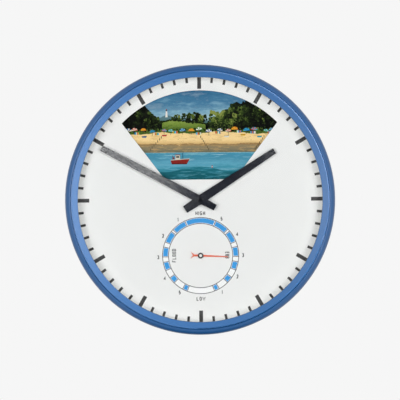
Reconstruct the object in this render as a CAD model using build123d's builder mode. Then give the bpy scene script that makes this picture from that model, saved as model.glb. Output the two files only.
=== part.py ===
from build123d import *
from math import acos, cos, degrees, pi, radians, sin, tan

# Round wall clock that shows the time and the tide, with a picture window above the centre in which a
# printed sea plate rises and falls, and a small tide dial below the centre.
# Frame: X to the right and Z up as seen from the front, the dial faces -Y, the wall is the plane Y = 0,
# and the origin lies on the axis of the hands. A level is a distance in front of the wall, a turn is an
# angle clockwise from twelve o'clock. All lengths are in millimetres, all angles in degrees.

full_turn = 360
half_turn = full_turn / 2
quarter_turn = full_turn / 4

# Time and tide shown
hour_shown = 1
hours_on_dial = 12
minute_turn = 298.1
tide_turn = 92.9
# The hour hand sits that much ahead of its place on the hour wheel, as on the photographed clock
hour_hand_ahead = 2.3

# Fits
running = 0.05
snug = 0.02
loose = 0.4
plate_play = 0.2
overrun = 1

# Stack behind the dial, from the wall forwards
wall_ring_height = 2.4
case_reveal = 0.4
cover_thickness = 1.6
back_gap = 1
carrier_thickness = 2
nut_height = 1
drive_gap = 0.3
drive_thickness = 3
stud_play = 0.1
stud_head_height = 0.9
ring_gap = 0.3
ring_thickness = 3
arm_gap = 0.2
arm_thickness = 1
sea_gap = 0.6
sea_thickness = 1
background_gap = 0.8
background_thickness = 1
foreground_gap = 0.7
foreground_thickness = 0.4

# Stack from the dial forwards
dial_thickness = 1.5
tide_hand_gap = 1.4
tide_hand_thickness = 0.6
tide_boss_height = 1
hour_hand_gap = 1
hand_thickness = 0.8
hand_spacing = 1.8
cap_height = 1.6
hand_room = 4.5
glass_thickness = 2.5
gasket_thickness = 0.6

# Case and bezel: the case radius leads, and the rest of the face follows it inwards
case_radius = 180
case_taper = 3.5
sheet = 1.6
roll_radius = 8.5
roll_drop = 0.9
seat_inset = 7.6
seat_edge = 0.6
shelf_width = 12.4
flange_width = 13
bezel_clearance = 0.3
bezel_sleeve = 4.4
bezel_width = 9.2
bezel_ridge_inset = 2
bezel_ridge_round = 1.7
bezel_edge = 1.2
bezel_rise = 4
bezel_crest = 0.2
bezel_shoulder_drop = 1.2
gasket_overhang = 0.4
spacer_wall = 3

# Dial, picture window and plates
window_bottom = 27
window_bottom_half_width = 46.5
window_flare = 0.758
window_border = 17.2
picture_margin = 4
background_bottom = 15
picture_post_radius = 3
picture_post_inset = 4.1
picture_post_turns = (62, 80)
rivet_radius = 1.5
rivet_head_radius = 2.6
rivet_head_height = 0.8
foreground_bottom = 20
foreground_height = 24
foreground_half_width = 64
# Top edge of the foreground strip: shares of its half width and of its height
foreground_edge_shares = ((-1, 0.82), (-0.72, 0.7), (-0.4, 0.86), (-0.13, 1), (0.13, 1),
                          (0.4, 0.84), (0.7, 0.72), (1, 0.84))

# Sea plate, in the place it has at half tide
tide_rise = 18
water_height = 37
sea_top_overlap = 1.8
sea_side_margin = 2
sea_stem_overlap = 3.5
sea_stem_margin = 8
bush_slot_margin = 1
rail_wall = 7
rail_cover = 1.6
rail_end_gap = 0.3
rail_lip = 0.8
rail_half_length = 9

# Tide gearing: two equal wheels, and a planet that rolls in a fixed ring twice its size, so that a pin
# on the planet's pitch circle moves on a straight upright line
pressure = radians(20)
tooth_root_share = 1.25
pinion_tip_share = 0.8
wheel_tip_share = 0.5
tooth_play_share = 0.2
root_relief_share = 0.6
tide_drop = 74.6
drive_teeth = 37
planet_teeth = 18
ring_rim = 2.6
ring_post_count = 4
ring_post_radius = 2.2
ring_post_margin = 0.9
crank_boss_radius = 5
stud_radius = 2.5
stud_thread_radius = 1.5
stud_head_radius = 4
planet_shoulder_radius = 2
planet_thread_radius = 1.2
planet_head_radius = 3.2
planet_hub_radius = 3.6
planet_arm_radius = 4
pin_boss_radius = 2.4
sea_pin_radius = 1.5
lightening_radius = 4.2
lightening_circle_share = 0.62
lightening_count = 6

# Carrier plate and its posts
carrier_wing = 13
carrier_margin = 6
carrier_post_radius = 3.5
carrier_post_side_inset = 6
carrier_post_bottom_inset = 4
carrier_post_top = -12
post_screw_radius = 1.25
post_screw_length = 7
post_screw_head_radius = 2.2
post_screw_head_height = 1.2

# Screws of the case, six for the cover and six for the bezel
case_screw_radius = 1.5
case_screw_length = 8
case_screw_head_radius = 2.4
case_screw_head_height = 1.4
case_screw_count = 6
cover_screw_turn = 30
screw_slot_width = 0.7
screw_slot_depth = 0.6

# Hanger and wall ring
hanger_drop = 32
hanger_half_width = 22
hanger_half_height = 17
hanger_thickness = 1.2
keyhole_radius = 5.5
keyhole_slot_half_width = 2.5
keyhole_slot_rise = 10
hanger_rivet_half_spacing = 17
hanger_rivet_head_radius = 3
wall_ring_inset = 24.5
wall_ring_width = 6

# Movements: battery, box and gears
movement_top = 26
movement_bottom = -30
movement_corner = 3
movement_wall = 1.2
lid_thickness = 1.4
cover_window_margin = 1.5
battery_radius = 7.1
battery_length = 49.2
battery_nub_radius = 2.75
battery_nub_length = 1.2
battery_play = 0.3
battery_back_gap = 0.2
battery_end_room = 1.6
contact_thickness = 0.4
contact_half_width = 5
contact_half_height = 4
contact_bump_radius = 2
bush_radius = 4
nut_radius = 6.35
nut_sides = 6
arbor_radius = 1.2
arbor_pivot_radius = 0.75
arbor_pivot_depth = 0.6
bearing_radius = 2.2
bearing_height = 1
tide_arbor_radius = 1.9
hour_pipe_radius = 2.2
step_module = 0.35
arbor_wheel_teeth = 64
pinion_teeth = 8
rotor_module = 0.3
step_wheel_teeth = 60
step_turn = 30
rotor_turn = 90
small_wheel_thickness = 0.8
wheel_clearance = 0.2
pin_radius = 0.5
step_hub_radius = 1.6
magnet_radius = 2.8
magnet_height = 2.8
magnet_rise = 1.6
stator_thickness = 0.8
stator_width = 3
stator_hole_gap = 0.35
stator_ring_width = 2.2
coil_height = 21.3
coil_left = 5
coil_right = 22
coil_end_gap = 2
coil_flange_radius = 3.3
coil_flange_width = 1
coil_winding_radius = 2.9
stator_post_radius = 1.4
minute_module = 0.5
minute_pinion_teeth = 12
minute_wheel_teeth = 36
knob_pinion_teeth = 14
hour_module = 0.48
hour_pinion_teeth = 10
hour_wheel_teeth = 40
motion_thickness = 1
motion_gap = 0.6
motion_pin_radius = 1
setting_turn = 270
knob_turn = 330
knob_shaft_radius = 1.2
knob_radius = 6
knob_gap = 0.3
knob_wall_gap = 1.4
knurl_radius = 0.8
knurl_count = 16
board_left = -25.5
board_right = -4
board_bottom = 13
board_top = 24
board_thickness = 1
chip_radius = 3
chip_height = 0.8
crystal_radius = 1
crystal_length = 6
hub_wall = 1

# Hands
hour_hand_inset = 29.5
hour_hand_tail = 24
hour_hand_tip_half_width = 3.95
hour_hand_hub_half_width = 6
hour_hand_tail_half_width = 5.1
minute_hand_inset = 14.9
minute_hand_tail = 22.8
minute_hand_tip_half_width = 3.85
minute_hand_hub_half_width = 5.1
minute_hand_tail_half_width = 4.2
hand_chamfer = 0.2
hour_collet_radius = 4.4
minute_collet_radius = 3.2
collet_length = 1.2
cap_radius = 3.6
cap_round = 0.5
tide_hand_length = 36.8
tide_hand_tip_half_width = 0.5
tide_hand_hub_half_width = 1.35
tide_neck_half_width = 1.2
tide_neck_end = 8.6
tide_tail = 13.4
tide_tail_half_width = 4.6
tide_tail_notch = 10.2
tide_collet_radius = 3
tide_boss_radius = 3.8
tide_boss_round = 0.3

# Levels worked out from the stack
movement_depth = 2 * (battery_radius + battery_back_gap) + lid_thickness
cover_back = wall_ring_height
cover_front = cover_back + cover_thickness
case_back = cover_back - case_reveal
flange_front = cover_front + sheet
movement_back = cover_front + back_gap
movement_front = movement_back + movement_depth
lid_back = movement_front - lid_thickness
floor_front = movement_back + movement_wall
carrier_front = movement_front + carrier_thickness
nut_front = carrier_front + nut_height
drive_back = nut_front + drive_gap
drive_front = drive_back + drive_thickness
stud_head_back = drive_front + stud_play
stud_head_front = stud_head_back + stud_head_height
ring_back = stud_head_front + ring_gap
ring_front = ring_back + ring_thickness
arm_back = ring_front + arm_gap
arm_front = arm_back + arm_thickness
planet_head_back = arm_front + stud_play
planet_head_front = planet_head_back + stud_head_height
sea_back = planet_head_front + sea_gap
sea_front = sea_back + sea_thickness
background_front = sea_back - background_gap
background_back = background_front - background_thickness
foreground_back = sea_front + foreground_gap
dial_back = foreground_back + foreground_thickness
dial_front = dial_back + dial_thickness
tide_hand_back = dial_front + tide_hand_gap
tide_hand_front = tide_hand_back + tide_hand_thickness
tide_boss_front = tide_hand_front + tide_boss_height
hour_hand_back = tide_boss_front + hour_hand_gap
hour_hand_front = hour_hand_back + hand_thickness
minute_hand_back = hour_hand_front + hand_spacing
minute_hand_front = minute_hand_back + hand_thickness
cap_front = minute_hand_front + cap_height
glass_back = cap_front + hand_room
glass_front = glass_back + glass_thickness
lip_back = glass_front + gasket_thickness
bezel_ridge = lip_back + bezel_edge + bezel_rise
bezel_front = bezel_ridge + bezel_crest
roll_level = bezel_front - roll_radius - roll_drop

# Radii worked out from the case
case_back_radius = case_radius - case_taper
seat_radius = case_radius - seat_inset
shelf_radius = seat_radius - shelf_width
bezel_inner_radius = seat_radius - bezel_width
bezel_ridge_radius = seat_radius - bezel_ridge_inset
bezel_radius = seat_radius - bezel_clearance
sleeve_radius = bezel_radius - bezel_sleeve
glass_radius = sleeve_radius - loose
bezel_screw_circle = bezel_radius - bezel_sleeve / 2
cover_radius = case_back_radius - sheet - loose
flange_radius = case_back_radius - flange_width
cover_screw_circle = (flange_radius + cover_radius) / 2
window_arc_radius = bezel_inner_radius - window_border
picture_post_circle = window_arc_radius - picture_post_inset
wall_ring_radius = case_back_radius - wall_ring_inset
hanger_height = wall_ring_radius - wall_ring_width - hanger_drop
minute_hand_length = bezel_inner_radius - minute_hand_inset
hour_hand_length = minute_hand_length - hour_hand_inset

# Places on the dial
clock_axis = (0, 0)
tide_axis = (0, -tide_drop)
hour_wheel_turn = (hour_shown + minute_turn / full_turn) * full_turn / hours_on_dial
hour_turn = hour_wheel_turn + hour_hand_ahead


def facing(level, turn=0, at=clock_axis):
    """Plane parallel to the dial at that level, its Y axis pointing along the turn."""
    return Plane(
        origin=(at[0], -level, at[1]),
        x_dir=(cos(radians(turn)), 0, -sin(radians(turn))),
        z_dir=(0, -1, 0),
    )


# Plane for sections of turned parts: X is the radius and Y is the level
half_section = Plane(origin=(0, 0, 0), x_dir=(1, 0, 0), z_dir=(0, 0, -1))


def away(start, turn, distance):
    """Place at that distance from start, in the direction of the turn."""
    return (start[0] + distance * sin(radians(turn)), start[1] + distance * cos(radians(turn)))


def involute(angle):
    return tan(angle) - angle


def gear_outline(teeth, module, tip_share, root_share, play_share, first):
    """Corners of a gear whose flanks follow an involute, with one tooth centred on the turn first.

    A negative play and swapped shares give the hole of a ring gear, whose spaces are these teeth."""
    pitch_radius = teeth * module / 2
    base_radius = pitch_radius * cos(pressure)
    root_radius = pitch_radius - root_share * module
    tip_radius = pitch_radius + tip_share * module
    flank = (pi / 2 - play_share) / teeth + involute(pressure)
    if root_radius < base_radius:
        steps = [(root_radius, flank * root_relief_share), (base_radius, flank)]
    else:
        steps = [(root_radius, flank - involute(acos(base_radius / root_radius)))]
    for radius in (pitch_radius, tip_radius):
        steps.append((radius, flank - involute(acos(base_radius / radius))))
    corners = []
    for tooth in range(teeth):
        middle = radians(first) + 2 * pi * tooth / teeth
        corners += [away(clock_axis, degrees(middle - half), radius) for radius, half in steps]
        corners += [away(clock_axis, degrees(middle + half), radius) for radius, half in reversed(steps)]
    return corners


def pinion_outline(teeth, module, first):
    return gear_outline(teeth, module, pinion_tip_share, tooth_root_share, tooth_play_share, first)


def wheel_outline(teeth, module, first):
    return gear_outline(teeth, module, wheel_tip_share, tooth_root_share, tooth_play_share, first)


def meshed(first, teeth, other_teeth, turn):
    """First tooth of the gear that lies in that direction, so that its teeth stand in the gaps."""
    return turn + half_turn - (first - turn) * teeth / other_teeth + half_turn / other_teeth


def meshed_inside(first, teeth, ring_teeth, turn):
    """First space of the ring gear whose teeth a gear inside it meets in that direction."""
    return turn + (first - turn) * teeth / ring_teeth


def centre_distance(module, teeth, other_teeth):
    return module * (teeth + other_teeth) / 2


def save(part, name):
    part.label = name
    export_step(part, f"parts/{name}.step")


# Case: spun shell whose front rolls over into the seat of the bezel, with a shelf that carries the dial
roll_centre = (case_radius - roll_radius, roll_level)
inner_roll_radius = roll_radius - sheet
outer_sweep = degrees(acos((seat_radius + seat_edge - roll_centre[0]) / roll_radius))
inner_sweep = degrees(acos((seat_radius + sheet - roll_centre[0]) / inner_roll_radius))
with BuildPart() as case_shell:
    with BuildSketch(half_section):
        with BuildLine():
            outer_roll = CenterArc(roll_centre, roll_radius, 0, outer_sweep)
            inner_roll = CenterArc(roll_centre, inner_roll_radius, 0, inner_sweep)
            seat_top = (outer_roll @ 1).Y - seat_edge
            Polyline(
                outer_roll @ 1,
                (seat_radius, seat_top),
                (seat_radius, dial_back),
                (shelf_radius, dial_back),
                (shelf_radius, dial_back - sheet),
                (seat_radius + sheet, dial_back - sheet),
                inner_roll @ 1,
            )
            Polyline(
                inner_roll @ 0,
                (case_back_radius - sheet, flange_front),
                (flange_radius, flange_front),
                (flange_radius, cover_front),
                (case_back_radius - sheet, cover_front),
                (case_back_radius - sheet, case_back),
                (case_back_radius, case_back),
                outer_roll @ 0,
            )
        make_face()
    revolve(axis=Axis.Y)
    with BuildSketch(facing(dial_back - sheet - overrun)):
        with PolarLocations(bezel_screw_circle, case_screw_count):
            Circle(case_screw_radius + snug)
    extrude(amount=sheet + 2 * overrun, mode=Mode.SUBTRACT)
    with BuildSketch(facing(cover_front - overrun)):
        with PolarLocations(cover_screw_circle, case_screw_count, start_angle=cover_screw_turn):
            Circle(case_screw_radius + snug)
    extrude(amount=sheet + 2 * overrun, mode=Mode.SUBTRACT)
save(case_shell.part, "case_shell")

# Bezel: cast ring with a sloping band inside its ridge and a sleeve that stands on the shelf
crest_half = bezel_ridge_round / 2
with BuildPart() as bezel:
    with BuildSketch(half_section):
        with BuildLine():
            band = Line((bezel_inner_radius, lip_back + bezel_edge), (bezel_ridge_radius, bezel_ridge))
            crest = ThreePointArc(
                band @ 1,
                (bezel_ridge_radius + crest_half, bezel_front),
                (bezel_ridge_radius + 2 * crest_half, bezel_front - bezel_shoulder_drop),
            )
            Polyline(
                crest @ 1,
                (bezel_radius, dial_back),
                (sleeve_radius, dial_back),
                (sleeve_radius, lip_back),
                (bezel_inner_radius, lip_back),
                band @ 0,
            )
        make_face()
    revolve(axis=Axis.Y)
    with BuildSketch(facing(dial_back - overrun)):
        with PolarLocations(bezel_screw_circle, case_screw_count):
            Circle(case_screw_radius + snug)
    extrude(amount=case_screw_length - sheet + 2 * overrun, mode=Mode.SUBTRACT)
save(bezel.part, "bezel")


def slotted_screws(back, circle, start, shank_radius, shank_length, head_radius, head_height):
    """Solids of a ring of screws driven in from behind, their heads ending at the level back."""
    with BuildPart() as screws:
        with BuildSketch(facing(back - head_height)):
            with PolarLocations(circle, case_screw_count, start_angle=start):
                Circle(head_radius)
        extrude(amount=head_height)
        with BuildSketch(facing(back)):
            with PolarLocations(circle, case_screw_count, start_angle=start):
                Circle(shank_radius)
        extrude(amount=shank_length)
        with BuildSketch(facing(back - head_height)):
            with PolarLocations(circle, case_screw_count, start_angle=start):
                Rectangle(2 * head_radius + overrun, screw_slot_width)
        extrude(amount=screw_slot_depth, mode=Mode.SUBTRACT)
    return screws.part


save(
    slotted_screws(
        dial_back - sheet, bezel_screw_circle, 0,
        case_screw_radius, case_screw_length, case_screw_head_radius, case_screw_head_height,
    ),
    "bezel_screws",
)
save(
    slotted_screws(
        cover_back, cover_screw_circle, cover_screw_turn,
        case_screw_radius, case_screw_length, case_screw_head_radius, case_screw_head_height,
    ),
    "cover_screws",
)

# Glass, its gasket under the lip of the bezel, and the ring that holds it off the dial
with BuildPart() as glass:
    with BuildSketch(facing(glass_back)):
        Circle(glass_radius)
    extrude(amount=glass_thickness)
save(glass.part, "glass")

with BuildPart() as glass_gasket:
    with BuildSketch(facing(glass_front)):
        Circle(glass_radius)
        Circle(bezel_inner_radius - gasket_overhang, mode=Mode.SUBTRACT)
    extrude(amount=gasket_thickness)
save(glass_gasket.part, "glass_gasket")

with BuildPart() as spacer_ring:
    with BuildSketch(facing(dial_front)):
        Circle(glass_radius)
        Circle(glass_radius - spacer_wall, mode=Mode.SUBTRACT)
    extrude(amount=glass_back - dial_front)
save(spacer_ring.part, "spacer_ring")


def window_half_width(height, reference=window_bottom):
    """Half width of the window at that height above its bottom corners at the height reference."""
    return window_bottom_half_width + window_flare * (height - reference)


# Dial: sheet with the fan-shaped picture window, held between the shelf and the spacer ring
with BuildPart() as dial_plate:
    with BuildSketch(facing(dial_back)):
        Circle(glass_radius)
        Circle(bush_radius + loose, mode=Mode.SUBTRACT)
        with Locations(tide_axis):
            Circle(tide_arbor_radius + loose, mode=Mode.SUBTRACT)
        with BuildSketch(mode=Mode.PRIVATE) as window:
            Circle(window_arc_radius)
            Polygon(
                (-window_bottom_half_width, window_bottom),
                (window_bottom_half_width, window_bottom),
                (window_half_width(window_arc_radius), window_arc_radius),
                (-window_half_width(window_arc_radius), window_arc_radius),
                align=None,
                mode=Mode.INTERSECT,
            )
        add(window.sketch, mode=Mode.SUBTRACT)
    extrude(amount=dial_thickness)
save(dial_plate.part, "dial_plate")

# Background plate: the fixed far part of the picture, behind the sea plate
background_radius = window_arc_radius + picture_margin
picture_posts_at = [
    away(clock_axis, side * turn, picture_post_circle)
    for side in (-1, 1)
    for turn in picture_post_turns
]
with BuildPart() as background_plate:
    with BuildSketch(facing(background_back)):
        Circle(background_radius)
        with Locations((0, background_bottom)):
            Rectangle(
                2 * background_radius,
                background_radius,
                align=(Align.CENTER, Align.MIN),
                mode=Mode.INTERSECT,
            )
        with Locations(picture_posts_at):
            Circle(rivet_radius + snug, mode=Mode.SUBTRACT)
    extrude(amount=background_thickness)
save(background_plate.part, "background_plate")

# Posts on the back of the dial, riveted over behind the background plate
with BuildPart() as picture_posts:
    with BuildSketch(facing(background_front)):
        with Locations(picture_posts_at):
            Circle(picture_post_radius)
    extrude(amount=dial_back - background_front)
    with BuildSketch(facing(background_back)):
        with Locations(picture_posts_at):
            Circle(rivet_radius)
    extrude(amount=background_thickness)
    with BuildSketch(facing(background_back - rivet_head_height)):
        with Locations(picture_posts_at):
            Circle(rivet_head_radius)
    extrude(amount=rivet_head_height)
save(picture_posts.part, "picture_posts")

# Foreground strip: near part of the picture, glued to the back of the dial in front of the sea plate
with BuildPart() as foreground_strip:
    with BuildSketch(facing(foreground_back)):
        with BuildLine():
            edge = Spline(
                *[
                    (foreground_half_width * across, foreground_bottom + foreground_height * up)
                    for across, up in foreground_edge_shares
                ]
            )
            Polyline(
                edge @ 1,
                (foreground_half_width, foreground_bottom),
                (-foreground_half_width, foreground_bottom),
                edge @ 0,
            )
        make_face()
    extrude(amount=foreground_thickness)
save(foreground_strip.part, "foreground_strip")

# Tide drive: the wheel on the tide arbor turns the crank wheel, which carries the planet gear and stands
# halfway between the two movements
drive_module = tide_drop / 2 / drive_teeth
planet_module = tide_rise / planet_teeth
crank_axis = away(tide_axis, 0, tide_drop / 2)
crank_radius = tide_rise / 2
crank_turn = -tide_turn
planet_axis = away(crank_axis, crank_turn, crank_radius)
sea_pin_at = away(planet_axis, -crank_turn, crank_radius)
rise = sea_pin_at[1] - crank_axis[1]
ring_teeth = 2 * planet_teeth
ring_hole_radius = planet_module * (planet_teeth + tooth_root_share)
drive_tip_radius = drive_module * (drive_teeth / 2 + pinion_tip_share)
ring_post_circle = max(drive_tip_radius, ring_hole_radius) + ring_post_margin + ring_post_radius
ring_radius = ring_post_circle + ring_rim
ring_posts_at = [
    away(crank_axis, (corner + 1 / 2) * full_turn / ring_post_count, ring_post_circle)
    for corner in range(ring_post_count)
]
lightening_circle = drive_module * drive_teeth / 2 * lightening_circle_share
crank_first_tooth = meshed(tide_turn, drive_teeth, drive_teeth, 0)

with BuildPart() as tide_drive_wheel:
    with BuildSketch(facing(drive_back, at=tide_axis)):
        Polygon(*pinion_outline(drive_teeth, drive_module, tide_turn), align=None)
        Circle(tide_arbor_radius + snug, mode=Mode.SUBTRACT)
        with PolarLocations(lightening_circle, lightening_count):
            Circle(lightening_radius, mode=Mode.SUBTRACT)
    extrude(amount=drive_thickness)
save(tide_drive_wheel.part, "tide_drive_wheel")

with BuildPart() as crank_wheel:
    with BuildSketch(facing(drive_back, at=crank_axis)):
        Polygon(*pinion_outline(drive_teeth, drive_module, crank_first_tooth), align=None)
    extrude(amount=drive_thickness)
    with BuildSketch(facing(carrier_front + stud_play, at=crank_axis)):
        Circle(crank_boss_radius)
    extrude(amount=drive_back - carrier_front - stud_play)
    with BuildSketch(facing(carrier_front, at=crank_axis)):
        Circle(stud_radius + running)
    extrude(amount=drive_front - carrier_front + overrun, mode=Mode.SUBTRACT)
    with BuildSketch(facing(drive_back - overrun, at=planet_axis)):
        Circle(planet_thread_radius + snug)
    extrude(amount=drive_thickness + 2 * overrun, mode=Mode.SUBTRACT)
save(crank_wheel.part, "crank_wheel")

# Shoulder screw that carries the crank wheel on the carrier plate
with BuildPart() as crank_stud:
    with BuildSketch(facing(movement_front, at=crank_axis)):
        Circle(stud_thread_radius)
    extrude(amount=carrier_thickness)
    with BuildSketch(facing(carrier_front, at=crank_axis)):
        Circle(stud_radius)
    extrude(amount=stud_head_back - carrier_front)
    with BuildSketch(facing(stud_head_back, at=crank_axis)):
        Circle(stud_head_radius)
    extrude(amount=stud_head_height)
    with BuildSketch(facing(stud_head_front - screw_slot_depth, at=crank_axis)):
        Rectangle(2 * stud_head_radius + overrun, screw_slot_width)
    extrude(amount=screw_slot_depth, mode=Mode.SUBTRACT)
save(crank_stud.part, "crank_stud")

# Shoulder screw that carries the planet gear on the crank wheel
with BuildPart() as planet_screw:
    with BuildSketch(facing(drive_back, at=planet_axis)):
        Circle(planet_thread_radius)
    extrude(amount=drive_thickness)
    with BuildSketch(facing(drive_front, at=planet_axis)):
        Circle(planet_shoulder_radius)
    extrude(amount=planet_head_back - drive_front)
    with BuildSketch(facing(planet_head_back, at=planet_axis)):
        Circle(planet_head_radius)
    extrude(amount=stud_head_height)
    with BuildSketch(facing(planet_head_front - screw_slot_depth, at=planet_axis)):
        Rectangle(2 * planet_head_radius + overrun, screw_slot_width)
    extrude(amount=screw_slot_depth, mode=Mode.SUBTRACT)
save(planet_screw.part, "planet_screw")

# Planet gear with the arm and pin that carry the sea plate
with BuildPart() as planet_gear:
    with BuildSketch(facing(ring_back, at=planet_axis)):
        Polygon(*pinion_outline(planet_teeth, planet_module, -crank_turn), align=None)
    extrude(amount=arm_back - ring_back)
    with BuildSketch(facing(stud_head_back, at=planet_axis)):
        Circle(planet_hub_radius)
    extrude(amount=ring_back - stud_head_back)
    with BuildSketch(facing(arm_back, turn=-crank_turn, at=planet_axis)):
        with BuildSketch(mode=Mode.PRIVATE) as arm:
            Circle(planet_arm_radius)
            with Locations((0, crank_radius)):
                Circle(pin_boss_radius)
            make_hull()
        add(arm.sketch)
    extrude(amount=arm_thickness)
    with BuildSketch(facing(arm_front, at=sea_pin_at)):
        Circle(sea_pin_radius)
    extrude(amount=sea_front + stud_play - arm_front)
    with BuildSketch(facing(drive_front, at=planet_axis)):
        Circle(planet_shoulder_radius + running)
    extrude(amount=arm_front - drive_front + overrun, mode=Mode.SUBTRACT)
save(planet_gear.part, "planet_gear")

# Fixed ring gear in which the planet rolls, on four posts of the carrier plate
with BuildPart() as ring_gear:
    with BuildSketch(facing(ring_back, at=crank_axis)):
        Circle(ring_radius)
        Polygon(
            *gear_outline(
                ring_teeth,
                planet_module,
                tooth_root_share,
                pinion_tip_share,
                -tooth_play_share,
                meshed_inside(-crank_turn, planet_teeth, ring_teeth, crank_turn),
            ),
            align=None,
            mode=Mode.SUBTRACT,
        )
    extrude(amount=ring_thickness)
    with BuildSketch(facing(ring_back - overrun)):
        with Locations(ring_posts_at):
            Circle(post_screw_radius + snug)
    extrude(amount=ring_thickness + 2 * overrun, mode=Mode.SUBTRACT)
save(ring_gear.part, "ring_gear")

with BuildPart() as ring_posts:
    with BuildSketch(facing(carrier_front)):
        with Locations(ring_posts_at):
            Circle(ring_post_radius)
            Circle(post_screw_radius + snug, mode=Mode.SUBTRACT)
    extrude(amount=ring_back - carrier_front)
save(ring_posts.part, "ring_posts")

# Sea plate: stands on the planet's pin and slides between the guide rails; its heights are those of
# half tide, moved by the rise that the tide hand's turn gives
water_line = window_bottom + water_height
sea_top_half_width = window_half_width(water_line + tide_rise) + sea_top_overlap
sea_stem_half_width = window_bottom_half_width + sea_stem_overlap
sea_stem_bottom = crank_axis[1] - sea_stem_margin
sea_stem_corner = window_bottom - tide_rise + (
    sea_stem_half_width - sea_side_margin - window_bottom_half_width) / window_flare
sea_side_top = window_bottom - tide_rise + (
    sea_top_half_width - sea_side_margin - window_bottom_half_width) / window_flare
sea_edge = [
    (sea_stem_half_width, sea_stem_bottom),
    (sea_stem_half_width, sea_stem_corner),
    (sea_top_half_width, min(sea_side_top, water_line)),
    (sea_top_half_width, water_line),
]
sea_outline = sea_edge + [(-across, up) for across, up in reversed(sea_edge)]
bush_slot_half_width = bush_radius + bush_slot_margin
with BuildPart() as sea_plate:
    with BuildSketch(facing(sea_back, at=(0, rise))):
        Polygon(*sea_outline, align=None)
        SlotOverall(
            2 * (tide_rise + bush_slot_half_width),
            2 * bush_slot_half_width,
            rotation=quarter_turn,
            mode=Mode.SUBTRACT,
        )
        with Locations(crank_axis):
            Circle(sea_pin_radius + running, mode=Mode.SUBTRACT)
    extrude(amount=sea_thickness)
save(sea_plate.part, "sea_plate")

# Guide rails: grooved strips glued to the back of the dial, one at each side of the sea plate's stem
rail_bottom = sea_stem_bottom + tide_rise
rail_outer = sea_stem_half_width + rail_wall
with BuildPart() as guide_rails:
    with BuildSketch(facing(sea_back - plate_play - rail_lip)):
        with Locations((0, rail_bottom)):
            Rectangle(2 * rail_outer, 2 * rail_half_length, align=(Align.CENTER, Align.MIN))
            Rectangle(
                2 * (sea_stem_half_width - rail_cover),
                2 * rail_half_length,
                align=(Align.CENTER, Align.MIN),
                mode=Mode.SUBTRACT,
            )
    extrude(amount=dial_back - sea_back + plate_play + rail_lip)
    with BuildSketch(facing(sea_back - plate_play)):
        with Locations((0, rail_bottom)):
            Rectangle(
                2 * (sea_stem_half_width + rail_end_gap),
                2 * rail_half_length,
                align=(Align.CENTER, Align.MIN),
            )
    extrude(amount=sea_thickness + 2 * plate_play, mode=Mode.SUBTRACT)
save(guide_rails.part, "guide_rails")

# Carrier plate: holds both movements and the ring gear, and hangs from posts on the back of the dial
carrier_top = movement_top + carrier_margin
carrier_bottom = tide_axis[1] + movement_bottom - carrier_margin
carrier_half_width = rail_outer + carrier_wing
carrier_posts_at = [
    (side * (carrier_half_width - carrier_post_side_inset), height)
    for side in (-1, 1)
    for height in (carrier_post_top, carrier_bottom + carrier_post_bottom_inset)
]
with BuildPart() as carrier_plate:
    with BuildSketch(facing(movement_front)):
        with Locations((0, (carrier_top + carrier_bottom) / 2)):
            RectangleRounded(2 * carrier_half_width, carrier_top - carrier_bottom, carrier_margin)
        with Locations(clock_axis, tide_axis):
            Circle(bush_radius + running, mode=Mode.SUBTRACT)
        with Locations(crank_axis):
            Circle(stud_thread_radius + snug, mode=Mode.SUBTRACT)
        with Locations(carrier_posts_at):
            Circle(post_screw_radius + snug, mode=Mode.SUBTRACT)
    extrude(amount=carrier_thickness)
save(carrier_plate.part, "carrier_plate")

with BuildPart() as carrier_posts:
    with BuildSketch(facing(carrier_front)):
        with Locations(carrier_posts_at):
            Circle(carrier_post_radius)
            Circle(post_screw_radius + snug, mode=Mode.SUBTRACT)
    extrude(amount=dial_back - carrier_front)
save(carrier_posts.part, "carrier_posts")

# Equal screws: from behind into the posts of the carrier plate, from the front into those of the ring
with BuildPart() as post_screws:
    with BuildSketch(facing(movement_front - post_screw_head_height)):
        with Locations(carrier_posts_at):
            Circle(post_screw_head_radius)
    extrude(amount=post_screw_head_height)
    with BuildSketch(facing(movement_front)):
        with Locations(carrier_posts_at):
            Circle(post_screw_radius)
    extrude(amount=post_screw_length)
    with BuildSketch(facing(ring_front)):
        with Locations(ring_posts_at):
            Circle(post_screw_head_radius)
    extrude(amount=post_screw_head_height)
    with BuildSketch(facing(ring_front - post_screw_length)):
        with Locations(ring_posts_at):
            Circle(post_screw_radius)
    extrude(amount=post_screw_length)
    with BuildSketch(facing(movement_front - post_screw_head_height)):
        with Locations(carrier_posts_at):
            Rectangle(2 * post_screw_head_radius + overrun, screw_slot_width)
    extrude(amount=screw_slot_depth, mode=Mode.SUBTRACT)
    with BuildSketch(facing(ring_front + post_screw_head_height - screw_slot_depth)):
        with Locations(ring_posts_at):
            Rectangle(2 * post_screw_head_radius + overrun, screw_slot_width)
    extrude(amount=screw_slot_depth, mode=Mode.SUBTRACT)
save(post_screws.part, "post_screws")

# Places inside a movement, measured from its arbor
battery_half_reach = (battery_length + battery_nub_length) / 2
chamber_half_width = battery_half_reach + battery_end_room
movement_half_width = chamber_half_width + movement_wall
battery_bay_top = movement_bottom + movement_wall + 2 * (battery_radius + battery_play)
chamber_bottom = battery_bay_top + movement_wall
chamber_top = movement_top - movement_wall
battery_height = battery_bay_top - battery_radius - battery_play
battery_level = movement_back + battery_back_gap + battery_radius
step_at = away(clock_axis, step_turn, centre_distance(step_module, arbor_wheel_teeth, pinion_teeth))
rotor_at = away(step_at, rotor_turn, centre_distance(rotor_module, step_wheel_teeth, pinion_teeth))
setting_at = away(
    clock_axis, setting_turn, centre_distance(minute_module, minute_pinion_teeth, minute_wheel_teeth))
knob_at = away(
    setting_at, knob_turn, centre_distance(minute_module, minute_wheel_teeth, knob_pinion_teeth))
stator_posts_at = [(coil_left - coil_end_gap, coil_height), (coil_right + coil_end_gap, coil_height)]
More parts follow.
